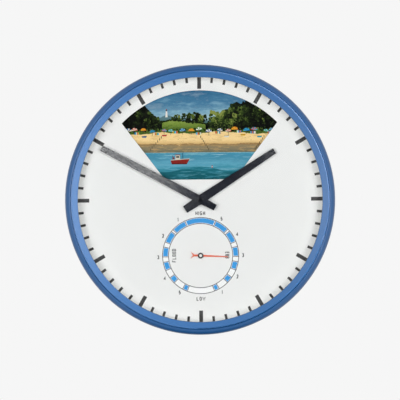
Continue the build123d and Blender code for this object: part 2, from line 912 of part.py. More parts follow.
stator_elbows_at = [(end, rotor_at[1] + stator_width / 2) for end, height in stator_posts_at]
stator_limbs = [
    stator_posts_at,
    (stator_posts_at[0], stator_elbows_at[0]),
    (stator_posts_at[1], stator_elbows_at[1]),
    (stator_elbows_at[0], (rotor_at[0] - magnet_radius - stator_hole_gap, rotor_at[1])),
    (stator_elbows_at[1], (rotor_at[0] + magnet_radius + stator_hole_gap, rotor_at[1])),
]
board_pegs_at = [(board_left + 2 * pin_radius + hub_wall, board_bottom + 2 * pin_radius + hub_wall),
                 (board_right - 2 * pin_radius - hub_wall, board_top - 2 * pin_radius - hub_wall)]

# Levels inside a movement
bearing_front = floor_front + bearing_height
arbor_wheel_back = bearing_front + small_wheel_thickness
arbor_wheel_front = arbor_wheel_back + small_wheel_thickness
step_seat = arbor_wheel_back - 2 * wheel_clearance - running
step_wheel_back = arbor_wheel_front + small_wheel_thickness
step_wheel_front = step_wheel_back + small_wheel_thickness
rotor_seat = step_wheel_back - 2 * wheel_clearance - running
rotor_pinion_front = step_wheel_front + 2 * wheel_clearance
magnet_back = rotor_pinion_front + magnet_rise
magnet_front = magnet_back + magnet_height
stator_back = (magnet_back + magnet_front - stator_thickness) / 2
hour_wheel_front = lid_back - motion_gap - motion_gap
hour_wheel_back = hour_wheel_front - motion_thickness
minute_wheel_front = hour_wheel_back - motion_gap
minute_wheel_back = minute_wheel_front - motion_thickness
rod_front = minute_wheel_front + wheel_clearance
rod_back = minute_wheel_back - wheel_clearance
board_back = floor_front + board_thickness


def plain_cylinder(level, at, radius, height, mode=Mode.ADD):
    """Cylinder square to the dial, in front of that level, for use inside a part."""
    with BuildSketch(facing(level, at=at)) as disc:
        Circle(radius)
    extrude(disc.sketch, amount=height, mode=mode)


def sideways_cylinder(start, level, height, radius, length, mode=Mode.ADD):
    """Cylinder that runs to the right from start, its axis at that level and height."""
    with BuildSketch(Plane(origin=(start, -level, height), x_dir=(0, 1, 0), z_dir=(1, 0, 0))) as disc:
        Circle(radius)
    extrude(disc.sketch, amount=length, mode=mode)


def from_axis(axis, place):
    return (axis[0] + place[0], axis[1] + place[1])


# The two movements are twins but for the front arbor, its bush and the hour gearing
for name, axis, front_radius, bush_bore, bush_front, arbor_front, first_tooth in (
    (
        "time",
        clock_axis,
        arbor_radius,
        hour_pipe_radius + running,
        (dial_back + dial_front) / 2,
        minute_hand_front + cap_height / 2,
        minute_turn,
    ),
    (
        "tide",
        tide_axis,
        tide_arbor_radius,
        tide_arbor_radius + running,
        nut_front,
        tide_boss_front,
        tide_turn,
    ),
):
    step_first = meshed(first_tooth, arbor_wheel_teeth, pinion_teeth, step_turn)
    rotor_first = meshed(step_first, step_wheel_teeth, pinion_teeth, rotor_turn)
    setting_first = meshed(first_tooth, minute_pinion_teeth, minute_wheel_teeth, setting_turn)
    knob_first = meshed(setting_first, minute_wheel_teeth, knob_pinion_teeth, knob_turn)

    # Box: gear chamber open to the front, battery bay open to the back
    with BuildPart() as movement_case:
        box_middle = from_axis(axis, (0, (movement_top + movement_bottom) / 2))
        with BuildSketch(facing(movement_back, at=box_middle)):
            RectangleRounded(2 * movement_half_width, movement_top - movement_bottom, movement_corner)
        extrude(amount=lid_back - movement_back)
        with BuildSketch(facing(floor_front, at=from_axis(axis, (0, chamber_bottom)))):
            Rectangle(2 * chamber_half_width, chamber_top - chamber_bottom, align=(Align.CENTER, Align.MIN))
        extrude(amount=movement_depth, mode=Mode.SUBTRACT)
        with BuildSketch(facing(movement_back - overrun, at=from_axis(axis, (0, battery_height)))):
            Rectangle(2 * chamber_half_width, 2 * (battery_radius + battery_play))
        extrude(amount=movement_depth, mode=Mode.SUBTRACT)
        plain_cylinder(floor_front, axis, bearing_radius, bearing_height)
        plain_cylinder(
            bearing_front - arbor_pivot_depth - bearing_height,
            axis,
            arbor_pivot_radius + running,
            arbor_pivot_depth + bearing_height + overrun,
            Mode.SUBTRACT,
        )
        plain_cylinder(floor_front, from_axis(axis, step_at), pin_radius, step_wheel_front - floor_front)
        plain_cylinder(
            floor_front, from_axis(axis, step_at), 2 * pin_radius, step_seat - floor_front - running)
        plain_cylinder(floor_front, from_axis(axis, rotor_at), pin_radius, magnet_front - floor_front)
        plain_cylinder(
            floor_front, from_axis(axis, rotor_at), 2 * pin_radius, rotor_seat - floor_front - running)
        for place in stator_posts_at:
            plain_cylinder(
                floor_front, from_axis(axis, place), stator_post_radius, stator_back - floor_front)
        for place in board_pegs_at:
            plain_cylinder(
                floor_front, from_axis(axis, place), pin_radius + hub_wall, board_back - floor_front)
            plain_cylinder(board_back, from_axis(axis, place), pin_radius, board_thickness + pin_radius)
        plain_cylinder(
            movement_back - overrun,
            from_axis(axis, knob_at),
            knob_shaft_radius + running,
            movement_wall + 2 * overrun,
            Mode.SUBTRACT,
        )
    save(movement_case.part, f"{name}_movement_case")

    # Lid with the threaded bush, and the pin on which the setting wheel runs
    with BuildPart() as movement_lid:
        with BuildSketch(facing(lid_back, at=box_middle)):
            RectangleRounded(2 * movement_half_width, movement_top - movement_bottom, movement_corner)
        extrude(amount=lid_thickness)
        plain_cylinder(movement_front, axis, bush_radius, bush_front - movement_front)
        bore_length = bush_front - lid_back + 2 * overrun
        plain_cylinder(lid_back - overrun, axis, bush_bore, bore_length, Mode.SUBTRACT)
        plain_cylinder(
            minute_wheel_back, from_axis(axis, setting_at), motion_pin_radius, lid_back - minute_wheel_back)
    save(movement_lid.part, f"{name}_movement_lid")

    # Arbor that carries the hand, stepped at the pivot
    with BuildPart() as arbor:
        plain_cylinder(
            bearing_front - arbor_pivot_depth, axis, arbor_pivot_radius, arbor_pivot_depth + running)
        plain_cylinder(bearing_front + running, axis, arbor_radius, rod_front - bearing_front)
        plain_cylinder(rod_front + running, axis, front_radius, arbor_front - rod_front - running)
    save(arbor.part, f"{name}_arbor")

    # Moulded wheel of the arbor, driven by the step wheel, with the pinion that turns the setting wheel
    with BuildPart() as arbor_wheel:
        with BuildSketch(facing(arbor_wheel_back, at=axis)):
            Polygon(*wheel_outline(arbor_wheel_teeth, step_module, first_tooth), align=None)
        extrude(amount=small_wheel_thickness)
        plain_cylinder(arbor_wheel_back, axis, arbor_radius + hub_wall, rod_back - arbor_wheel_back)
        with BuildSketch(facing(rod_back, at=axis)):
            Polygon(*pinion_outline(minute_pinion_teeth, minute_module, first_tooth), align=None)
        extrude(amount=rod_front - rod_back)
        plain_cylinder(
            bearing_front,
            axis,
            arbor_radius + snug,
            rod_front - bearing_front + overrun,
            Mode.SUBTRACT,
        )
    save(arbor_wheel.part, f"{name}_arbor_wheel")

    # Step wheel between the rotor and the arbor wheel
    with BuildPart() as step_wheel:
        with BuildSketch(facing(step_seat, at=from_axis(axis, step_at))):
            Polygon(*pinion_outline(pinion_teeth, step_module, step_first), align=None)
        extrude(amount=step_wheel_back - step_seat)
        with BuildSketch(facing(step_wheel_back, at=from_axis(axis, step_at))):
            Polygon(*wheel_outline(step_wheel_teeth, rotor_module, step_first), align=None)
        extrude(amount=small_wheel_thickness)
        plain_cylinder(
            step_seat - overrun,
            from_axis(axis, step_at),
            pin_radius + running,
            step_wheel_front - step_seat + 2 * overrun,
            Mode.SUBTRACT,
        )
    save(step_wheel.part, f"{name}_step_wheel")

    # Rotor: pinion, neck and disc magnet
    with BuildPart() as rotor:
        with BuildSketch(facing(rotor_seat, at=from_axis(axis, rotor_at))):
            Polygon(*pinion_outline(pinion_teeth, rotor_module, rotor_first), align=None)
        extrude(amount=rotor_pinion_front - rotor_seat)
        plain_cylinder(rotor_pinion_front, from_axis(axis, rotor_at), step_hub_radius, magnet_rise)
        plain_cylinder(magnet_back, from_axis(axis, rotor_at), magnet_radius, magnet_height)
        plain_cylinder(
            rotor_seat - overrun,
            from_axis(axis, rotor_at),
            pin_radius + running,
            magnet_front - rotor_seat + 2 * overrun,
            Mode.SUBTRACT,
        )
    save(rotor.part, f"{name}_rotor")

    # Setting wheel; in the time movement it also carries the pinion of the hour wheel
    with BuildPart() as setting_wheel:
        with BuildSketch(facing(minute_wheel_back, at=from_axis(axis, setting_at))):
            Polygon(*wheel_outline(minute_wheel_teeth, minute_module, setting_first), align=None)
        extrude(amount=motion_thickness)
        if name == "time":
            with BuildSketch(facing(minute_wheel_front, at=from_axis(axis, setting_at))):
                Polygon(*pinion_outline(hour_pinion_teeth, hour_module, setting_first), align=None)
            extrude(amount=lid_back - motion_gap / 2 - minute_wheel_front)
        else:
            plain_cylinder(
                minute_wheel_front,
                from_axis(axis, setting_at),
                motion_pin_radius + hub_wall,
                lid_back - motion_gap / 2 - minute_wheel_front,
            )
        plain_cylinder(
            minute_wheel_back - overrun,
            from_axis(axis, setting_at),
            motion_pin_radius + running,
            movement_front - minute_wheel_back,
            Mode.SUBTRACT,
        )
    save(setting_wheel.part, f"{name}_setting_wheel")

    # Setting knob: pinion inside, shaft through the floor, ribbed button behind
    with BuildPart() as setting_knob:
        with BuildSketch(facing(rod_back, at=from_axis(axis, knob_at))):
            Polygon(*pinion_outline(knob_pinion_teeth, minute_module, knob_first), align=None)
        extrude(amount=rod_front - rod_back)
        plain_cylinder(
            movement_back - knob_gap,
            from_axis(axis, knob_at),
            knob_shaft_radius,
            rod_back - movement_back + knob_gap,
        )
        with BuildSketch(facing(knob_wall_gap, at=from_axis(axis, knob_at))):
            Circle(knob_radius)
            with PolarLocations(knob_radius, knurl_count):
                Circle(knurl_radius, mode=Mode.SUBTRACT)
        extrude(amount=movement_back - knob_gap - knob_wall_gap)
    save(setting_knob.part, f"{name}_setting_knob")

    # Stator: soft iron loop from the rotor through the coil
    with BuildPart() as stator:
        with BuildSketch(facing(stator_back, at=axis)):
            for start, end in stator_limbs:
                middle = ((start[0] + end[0]) / 2, (start[1] + end[1]) / 2)
                SlotCenterPoint(middle, end, stator_width)
            with Locations(rotor_at):
                Circle(magnet_radius + stator_hole_gap + stator_ring_width)
                Circle(magnet_radius + stator_hole_gap, mode=Mode.SUBTRACT)
        extrude(amount=stator_thickness)
    save(stator.part, f"{name}_stator")

    # Coil: wound bobbin around the long side of the stator
    with BuildPart() as coil:
        coil_level = stator_back + stator_thickness / 2
        coil_axis_height = axis[1] + coil_height
        for start in (coil_left, coil_right - coil_flange_width):
            sideways_cylinder(
                axis[0] + start, coil_level, coil_axis_height, coil_flange_radius, coil_flange_width)
        sideways_cylinder(
            axis[0] + coil_left, coil_level, coil_axis_height, coil_winding_radius, coil_right - coil_left)
        coil_end = from_axis(axis, (coil_left - overrun, coil_height))
        with BuildSketch(facing(stator_back - running, at=coil_end)):
            Rectangle(
                coil_right - coil_left + 2 * overrun,
                stator_width + 2 * running,
                align=(Align.MIN, Align.CENTER),
            )
        extrude(amount=stator_thickness + 2 * running, mode=Mode.SUBTRACT)
    save(coil.part, f"{name}_coil")

    # Circuit board with its chip and crystal
    with BuildPart() as circuit_board:
        board_at = from_axis(axis, ((board_left + board_right) / 2, (board_bottom + board_top) / 2))
        with BuildSketch(facing(board_back, at=board_at)):
            Rectangle(board_right - board_left, board_top - board_bottom)
        extrude(amount=board_thickness)
        plain_cylinder(board_back + board_thickness, board_at, chip_radius, chip_height)
        sideways_cylinder(
            board_at[0] + chip_radius,
            board_back + board_thickness + crystal_radius / 2,
            board_at[1] - chip_radius,
            crystal_radius,
            crystal_length,
        )
        for place in board_pegs_at:
            plain_cylinder(
                board_back - overrun,
                from_axis(axis, place),
                pin_radius + snug,
                board_thickness + 2 * overrun,
                Mode.SUBTRACT,
            )
    save(circuit_board.part, f"{name}_circuit_board")

    # Battery cell with the nub of its positive end to the right
    with BuildPart() as battery:
        battery_start = axis[0] - battery_half_reach
        sideways_cylinder(
            battery_start, battery_level, axis[1] + battery_height, battery_radius, battery_length)
        sideways_cylinder(
            battery_start + battery_length,
            battery_level,
            axis[1] + battery_height,
            battery_nub_radius,
            battery_nub_length,
        )
    save(battery.part, f"{name}_battery")

# Battery contacts: a plate with a bump at each end of each battery bay
contact_plane_offset = chamber_half_width - contact_thickness
with BuildPart() as battery_contacts:
    for axis in (clock_axis, tide_axis):
        for side in (-1, 1):
            with BuildSketch(
                Plane(
                    origin=(axis[0] + side * contact_plane_offset, -battery_level, axis[1] + battery_height),
                    x_dir=(0, 1, 0),
                    z_dir=(side, 0, 0),
                )
            ):
                Rectangle(2 * contact_half_height, 2 * contact_half_width)
            extrude(amount=contact_thickness)
            with BuildSketch(
                Plane(
                    origin=(
                        axis[0] + side * (battery_half_reach + plate_play),
                        -battery_level,
                        axis[1] + battery_height,
                    ),
                    x_dir=(0, 1, 0),
                    z_dir=(side, 0, 0),
                )
            ):
                Circle(contact_bump_radius)
            extrude(amount=contact_plane_offset - battery_half_reach - plate_play)
save(battery_contacts.part, "battery_contacts")

# Hexagon nuts that hold the bushes in the carrier plate
with BuildPart() as movement_nuts:
    with BuildSketch(facing(carrier_front)):
        with Locations(clock_axis, tide_axis):
            RegularPolygon(nut_radius, nut_sides)
            Circle(bush_radius + snug, mode=Mode.SUBTRACT)
    extrude(amount=nut_height)
save(movement_nuts.part, "movement_nuts")

# Hour wheel with the pipe that carries the hour hand around the arbor
setting_first = meshed(minute_turn, minute_pinion_teeth, minute_wheel_teeth, setting_turn)
hour_first = meshed(setting_first, hour_pinion_teeth, hour_wheel_teeth, setting_turn - half_turn)
with BuildPart() as hour_wheel:
    with BuildSketch(facing(hour_wheel_back)):
        Polygon(*wheel_outline(hour_wheel_teeth, hour_module, hour_first), align=None)
    extrude(amount=motion_thickness)
    plain_cylinder(hour_wheel_back, clock_axis, hour_pipe_radius, hour_hand_front - hour_wheel_back)
    plain_cylinder(
        hour_wheel_back - overrun,
        clock_axis,
        arbor_radius + running,
        hour_hand_front - hour_wheel_back + 2 * overrun,
        Mode.SUBTRACT,
    )
save(hour_wheel.part, "hour_wheel")


def hand_corners(length, tail, tip_half_width, hub_half_width, tail_half_width):
    """Outline of a straight hand with square ends, widest at its hub."""
    right = [(tail_half_width, -tail), (hub_half_width, 0), (tip_half_width, length)]
    return right + [(-across, up) for across, up in reversed(right)]


# Hands
with BuildPart() as hour_hand:
    with BuildSketch(facing(hour_hand_back, turn=hour_turn)):
        Polygon(
            *hand_corners(
                hour_hand_length,
                hour_hand_tail,
                hour_hand_tip_half_width,
                hour_hand_hub_half_width,
                hour_hand_tail_half_width,
            ),
            align=None,
        )
    extrude(amount=hand_thickness)
    chamfer(hour_hand.faces().sort_by(Axis.Y)[0].edges(), hand_chamfer)
    plain_cylinder(hour_hand_back - collet_length, clock_axis, hour_collet_radius, collet_length)
    plain_cylinder(
        hour_hand_back - collet_length - overrun,
        clock_axis,
        hour_pipe_radius + snug,
        collet_length + hand_thickness + 2 * overrun,
        Mode.SUBTRACT,
    )
save(hour_hand.part, "hour_hand")

with BuildPart() as minute_hand:
    with BuildSketch(facing(minute_hand_back, turn=minute_turn)):
        Polygon(
            *hand_corners(
                minute_hand_length,
                minute_hand_tail,
                minute_hand_tip_half_width,
                minute_hand_hub_half_width,
                minute_hand_tail_half_width,
            ),
            align=None,
        )
    extrude(amount=hand_thickness)
    chamfer(minute_hand.faces().sort_by(Axis.Y)[0].edges(), hand_chamfer)
    plain_cylinder(minute_hand_back - collet_length, clock_axis, minute_collet_radius, collet_length)
    plain_cylinder(
        minute_hand_back - collet_length - overrun,
        clock_axis,
        arbor_radius + snug,
        collet_length + hand_thickness + 2 * overrun,
        Mode.SUBTRACT,
    )
save(minute_hand.part, "minute_hand")

with BuildPart() as hand_cap:
    plain_cylinder(minute_hand_front, clock_axis, cap_radius, cap_height)
    fillet(hand_cap.faces().sort_by(Axis.Y)[0].edges(), cap_round)
    plain_cylinder(
        minute_hand_front - overrun,
        clock_axis,
        arbor_radius + snug,
        cap_height / 2 + running + overrun,
        Mode.SUBTRACT,
    )
save(hand_cap.part, "hand_cap")

# Tide hand: slender pointer with a swallow tail
with BuildPart() as tide_hand:
    with BuildSketch(facing(tide_hand_back, turn=tide_turn, at=tide_axis)):
        Polygon(
            (tide_hand_tip_half_width, tide_hand_length),
            (tide_hand_hub_half_width, 0),
            (tide_neck_half_width, -tide_neck_end),
            (tide_tail_half_width, -tide_tail),
            (0, -tide_tail_notch),
            (-tide_tail_half_width, -tide_tail),
            (-tide_neck_half_width, -tide_neck_end),
            (-tide_hand_hub_half_width, 0),
            (-tide_hand_tip_half_width, tide_hand_length),
            align=None,
        )
        Circle(tide_collet_radius)
    extrude(amount=tide_hand_thickness)
    plain_cylinder(tide_hand_back - tide_boss_height, tide_axis, tide_collet_radius, tide_boss_height)
    plain_cylinder(
        dial_front,
        tide_axis,
        tide_arbor_radius + snug,
        tide_boss_front - dial_front,
        Mode.SUBTRACT,
    )
save(tide_hand.part, "tide_hand")

with BuildPart() as tide_hand_boss:
    plain_cylinder(tide_hand_front, tide_axis, tide_boss_radius, tide_boss_height)
    chamfer(tide_hand_boss.faces().sort_by(Axis.Y)[0].edges(), tide_boss_round)
    plain_cylinder(
        tide_hand_front - overrun,
        tide_axis,
        tide_arbor_radius + snug,
        tide_boss_height + 2 * overrun,
        Mode.SUBTRACT,
    )
save(tide_hand_boss.part, "tide_hand_boss")

# Back cover: sheet with windows for the backs of the movements and a pocket behind the hanger
pocket_top = hanger_height + keyhole_slot_rise + keyhole_radius
pocket_bottom = hanger_height - keyhole_radius - hub_wall
hanger_middle = hanger_height + keyhole_slot_rise / 2
with BuildPart() as back_cover:
    with BuildSketch(facing(cover_back)):
        Circle(cover_radius)
        for axis in (clock_axis, tide_axis):
            with Locations(from_axis(axis, (0, (movement_top + movement_bottom) / 2))):
                RectangleRounded(
                    2 * (movement_half_width + cover_window_margin),
                    movement_top - movement_bottom + 2 * cover_window_margin,
                    movement_corner,
                    mode=Mode.SUBTRACT,
                )
        with Locations((0, (pocket_top + pocket_bottom) / 2)):
            Rectangle(2 * (keyhole_radius + hub_wall), pocket_top - pocket_bottom, mode=Mode.SUBTRACT)
        with Locations(
            (-hanger_rivet_half_spacing, hanger_middle), (hanger_rivet_half_spacing, hanger_middle)
        ):
            Circle(rivet_radius + snug, mode=Mode.SUBTRACT)
        with PolarLocations(cover_screw_circle, case_screw_count, start_angle=cover_screw_turn):
            Circle(case_screw_radius + snug, mode=Mode.SUBTRACT)
    extrude(amount=cover_thickness)
save(back_cover.part, "back_cover")

with BuildPart() as hanger_plate:
    with BuildSketch(facing(cover_back - hanger_thickness)):
        with Locations((0, hanger_middle)):
            RectangleRounded(2 * hanger_half_width, 2 * hanger_half_height, movement_corner)
        with Locations((0, hanger_height)):
            Circle(keyhole_radius, mode=Mode.SUBTRACT)
        with Locations((0, hanger_height + keyhole_slot_rise / 2)):
            Rectangle(2 * keyhole_slot_half_width, keyhole_slot_rise, mode=Mode.SUBTRACT)
        with Locations((0, hanger_height + keyhole_slot_rise)):
            Circle(keyhole_slot_half_width, mode=Mode.SUBTRACT)
        with Locations(
            (-hanger_rivet_half_spacing, hanger_middle), (hanger_rivet_half_spacing, hanger_middle)
        ):
            Circle(rivet_radius + snug, mode=Mode.SUBTRACT)
    extrude(amount=hanger_thickness)
save(hanger_plate.part, "hanger_plate")

with BuildPart() as hanger_rivets:
    for side in (-1, 1):
        rivet_at = (side * hanger_rivet_half_spacing, hanger_middle)
        rivet_back = cover_back - hanger_thickness - rivet_head_height
        plain_cylinder(rivet_back, rivet_at, hanger_rivet_head_radius, rivet_head_height)
        plain_cylinder(rivet_back, rivet_at, rivet_radius, cover_front - rivet_back)
        plain_cylinder(cover_front, rivet_at, hanger_rivet_head_radius, rivet_head_height)
save(hanger_rivets.part, "hanger_rivets")

# Soft ring that keeps the back off the wall
with BuildPart() as wall_ring:
    with BuildSketch(facing(0)):
        Circle(wall_ring_radius)
        Circle(wall_ring_radius - wall_ring_width, mode=Mode.SUBTRACT)
    extrude(amount=wall_ring_height)
save(wall_ring.part, "wall_ring")
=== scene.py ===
from math import pi, radians

import bpy
import numpy as np
from bpy.props import FloatProperty, FloatVectorProperty, IntProperty, PointerProperty
from mathutils import Matrix, Vector


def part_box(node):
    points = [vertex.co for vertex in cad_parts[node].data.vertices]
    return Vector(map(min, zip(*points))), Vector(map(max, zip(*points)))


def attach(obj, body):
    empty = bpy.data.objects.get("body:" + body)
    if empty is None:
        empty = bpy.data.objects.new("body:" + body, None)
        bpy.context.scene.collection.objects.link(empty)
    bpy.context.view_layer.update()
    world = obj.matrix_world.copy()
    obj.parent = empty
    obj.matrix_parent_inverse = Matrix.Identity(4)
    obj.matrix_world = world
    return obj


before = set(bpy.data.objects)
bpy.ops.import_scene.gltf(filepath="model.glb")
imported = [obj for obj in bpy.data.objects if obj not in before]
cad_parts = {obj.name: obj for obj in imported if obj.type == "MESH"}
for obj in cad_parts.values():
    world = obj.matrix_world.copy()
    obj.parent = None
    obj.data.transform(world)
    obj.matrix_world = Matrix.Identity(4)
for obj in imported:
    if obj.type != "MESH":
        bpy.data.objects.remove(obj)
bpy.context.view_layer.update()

bl_info = {
    "name": "Wall tide clock",
    "version": (1, 0, 0),
    "blender": (4, 5, 0),
    "location": "3D View > Sidebar > Tide clock",
    "description": "Prints the dial and the picture of a wall tide clock and finishes all its parts",
    "category": "Add Mesh",
}

# The script works in millimetres on the dial: x to the right, z up, and a level in front of the wall.
# Points are turned into the frame's metres when a mesh is made.
MM = 0.001


def front_of(node):
    """Level of the front of a CAD node."""
    return -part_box(node)[0].y / MM


def back_of(node):
    return -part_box(node)[1].y / MM


def middle_of(node):
    """Place of a CAD node's middle on the dial."""
    low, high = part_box(node)
    return (low.x + high.x) / 2 / MM, (low.z + high.z) / 2 / MM


DIAL = front_of("dial_plate")
FAR = front_of("background_plate")
SEA = front_of("sea_plate")
NEAR = front_of("foreground_strip")
WATER_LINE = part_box("sea_plate")[1].z / MM
TIDE_CENTRE = middle_of("tide_hand_boss")
FAR_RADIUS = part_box("background_plate")[1].z / MM
FAR_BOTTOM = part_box("background_plate")[0].z / MM


def rgb(red, green, blue):
    """Linear colour of a display colour given from 0 to 255."""
    share = np.array([red, green, blue]) / 255
    linear = np.where(share <= 0.04045, share / 12.92, ((share + 0.055) / 1.055) ** 2.4)
    return tuple(float(v) for v in linear)


# Meshes


def make_piece(name, shape, finish, body):
    """New piece from a shape: points (x, level, z) in millimetres, faces and, for some, tones, which are
    one number or one colour for each point."""
    points, faces, *more = shape
    points = np.asarray(points, float).reshape(-1, 3)
    placed = np.stack([points[:, 0], -points[:, 1], points[:, 2]], axis=1) * MM
    mesh = bpy.data.meshes.new(name)
    mesh.from_pydata(placed.tolist(), [], faces)
    for tones in more:
        tones = np.asarray(tones, np.float32)
        kind, field = ("FLOAT", "value") if tones.ndim == 1 else ("FLOAT_COLOR", "color")
        if tones.ndim == 2:
            tones = np.concatenate([tones, np.ones((len(tones), 1), np.float32)], axis=1)
        layer = mesh.attributes.new("tone", kind, "POINT")
        layer.data.foreach_set(field, tones.ravel())
    mesh.validate()
    mesh.materials.append(finish)
    piece = bpy.data.objects.new(name, mesh)
    bpy.context.scene.collection.objects.link(piece)
    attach(piece, body)


def prisms(outlines, back, front):
    """Closed flat shapes. Each outline is a row of corners, anticlockwise as seen from the front; the
    points are the outline at the front level and again at the back level."""
    outlines = np.asarray(outlines, float)
    count, corners = outlines.shape[:2]
    rings = []
    for level in (front, back):
        levels = np.broadcast_to(np.reshape(level, (-1, 1)), (count, corners))
        rings.append(np.stack([outlines[..., 0], levels, outlines[..., 1]], axis=2))
    points = np.concatenate(rings, axis=1)
    ring = np.arange(corners)
    after = np.roll(ring, -1)
    first = 2 * corners * np.arange(count)[:, None]
    faces = (first + ring).tolist() + (first + corners + ring[::-1]).tolist()
    sides = np.stack([ring, ring + corners, after + corners, after], axis=1)
    faces += (first[:, :, None] + sides[None]).reshape(-1, 4).tolist()
    return points.reshape(-1, 3), faces


def strips(left, right, back, front, closed=False):
    """Closed flat strips between a left and a right edge, both given as rows of (x, z) along the way:
    at each step stand four corners, left and right at the front and right and left at the back."""
    left, right = np.asarray(left, float), np.asarray(right, float)
    count, steps = left.shape[:2]
    edges = np.stack([left, right, right, left], axis=2)
    levels = np.broadcast_to(np.array([front, front, back, back], float), edges.shape[:3])
    points = np.stack([edges[..., 0], levels, edges[..., 1]], axis=3)
    row = np.arange(4)
    here = 4 * np.arange(steps if closed else steps - 1)[:, None]
    ahead = (here + 4) % (4 * steps)
    turned = np.roll(row, -1)
    quads = np.stack([here + row, here + turned, ahead + turned, ahead + row], axis=2).reshape(-1, 4)
    if not closed:
        quads = np.concatenate([quads, [row[::-1]], [4 * (steps - 1) + row]])
    first = 4 * steps * np.arange(count)[:, None, None]
    return points.reshape(-1, 3), (first + quads[None]).reshape(-1, 4).tolist()


def on_circle(centre, radius, turn):
    """Places on a circle, the turn in degrees clockwise from the top."""
    turn = np.radians(turn)
    return np.stack([centre[0] + radius * np.sin(turn), centre[1] + radius * np.cos(turn)], axis=-1)


def arcs(starts, ends, inner, outer, back, front, centre=(0, 0), steps=24):
    """Bars bent round a centre from a start turn to an end turn."""
    starts, ends = np.asarray(starts, float), np.asarray(ends, float)
    turns = starts[:, None] + (ends - starts)[:, None] * np.linspace(0, 1, steps + 1)
    whole = bool(np.allclose(ends - starts, 360))
    if whole:
        turns = turns[:, :-1]
    return strips(on_circle(centre, outer, turns), on_circle(centre, inner, turns), back, front, whole)


def spokes(turns, inner, outer, width, centre=(0, 0)):
    """Outlines of straight bars that point away from a centre."""
    turns = np.radians(np.asarray(turns, float))[:, None]
    along = np.array([inner, outer, outer, inner])
    across = np.array([1, 1, -1, -1]) * width / 2
    x = centre[0] + along * np.sin(turns) + across * np.cos(turns)
    z = centre[1] + along * np.cos(turns) - across * np.sin(turns)
    return np.stack([x, z], axis=2)


def strokes(paths, width, back, front):
    """Lines of even width along paths of (x, z) points, their corners mitred."""
    made = []
    for path in paths:
        path = np.asarray(path, float)
        way = np.diff(path, axis=0)
        way /= np.linalg.norm(way, axis=1, keepdims=True)
        before, after = np.concatenate([way[:1], way]), np.concatenate([way, way[-1:]])
        lean = (before + after) / (1 + np.sum(before * after, axis=1, keepdims=True)).clip(0.35)
        side = np.stack([-lean[:, 1], lean[:, 0]], axis=1) * width / 2
        made.append(strips([path + side], [path - side], back, front))
    return joined(*made)


def waves(x, seed, sizes):
    """Uneven line: the sum of sines with the given wave lengths and heights, their starts drawn once."""
    draw = np.random.default_rng(seed)
    return sum(height * np.sin(2 * pi * (x / length + draw.random())) for length, height in sizes)


def band(x, lower, upper, back, front):
    """Closed strip between two lines over x."""
    return strips([np.stack([x, upper], 1)], [np.stack([x, lower], 1)], back, front)


DOME_RAGGED = 0.18
DOME_STEP = 0.1
DOME_SUNK = 0.05


def domes(places, radii, tones, back, seed, corners=9, flat=1.0, rise=0.1):
    """Low closed rosettes: a rim of corners at uneven distances from its middle, and a raised middle.
    Later ones lie a hair further forward, so that they cover the earlier ones."""
    draw = np.random.default_rng(seed)
    count = len(places)
    turns = np.linspace(0, 2 * pi, corners, endpoint=False) + draw.random((count, 1)) * pi
    reach = radii[:, None] * (1 + DOME_RAGGED * (draw.random((count, corners)) * 2 - 1))
    rim = np.stack([places[:, :1] + reach * np.cos(turns), places[:, 1:] + flat * reach * np.sin(turns)], 2)
    base = back + DOME_STEP * np.arange(count) / count
    rims = np.stack([rim[..., 0], np.repeat(base[:, None], corners, 1), rim[..., 1]], axis=2)
    tops = np.stack([places[:, 0], base + rise, places[:, 1]], axis=1)[:, None]
    backs = np.stack([places[:, 0], np.full(count, back - DOME_SUNK), places[:, 1]], axis=1)[:, None]
    points = np.concatenate([tops, backs, rims], axis=1)
    ring = 2 + np.arange(corners)
    after = np.roll(ring, -1)
    fans = np.concatenate([
        np.stack([np.zeros(corners, int), ring, after], axis=1),
        np.stack([np.ones(corners, int), after, ring], axis=1),
    ])
    first = (corners + 2) * np.arange(count)[:, None, None]
    return points.reshape(-1, 3), (first + fans).reshape(-1, 3).tolist(), np.repeat(tones, corners + 2)


def joined(*shapes):
    """Points and faces of several shapes as one."""
    points, faces, start = [], [], 0
    for some_points, some_faces in shapes:
        points.append(np.asarray(some_points).reshape(-1, 3))
        faces += [[start + corner for corner in face] for face in some_faces]
        start += len(points[-1])
    return np.concatenate(points), faces


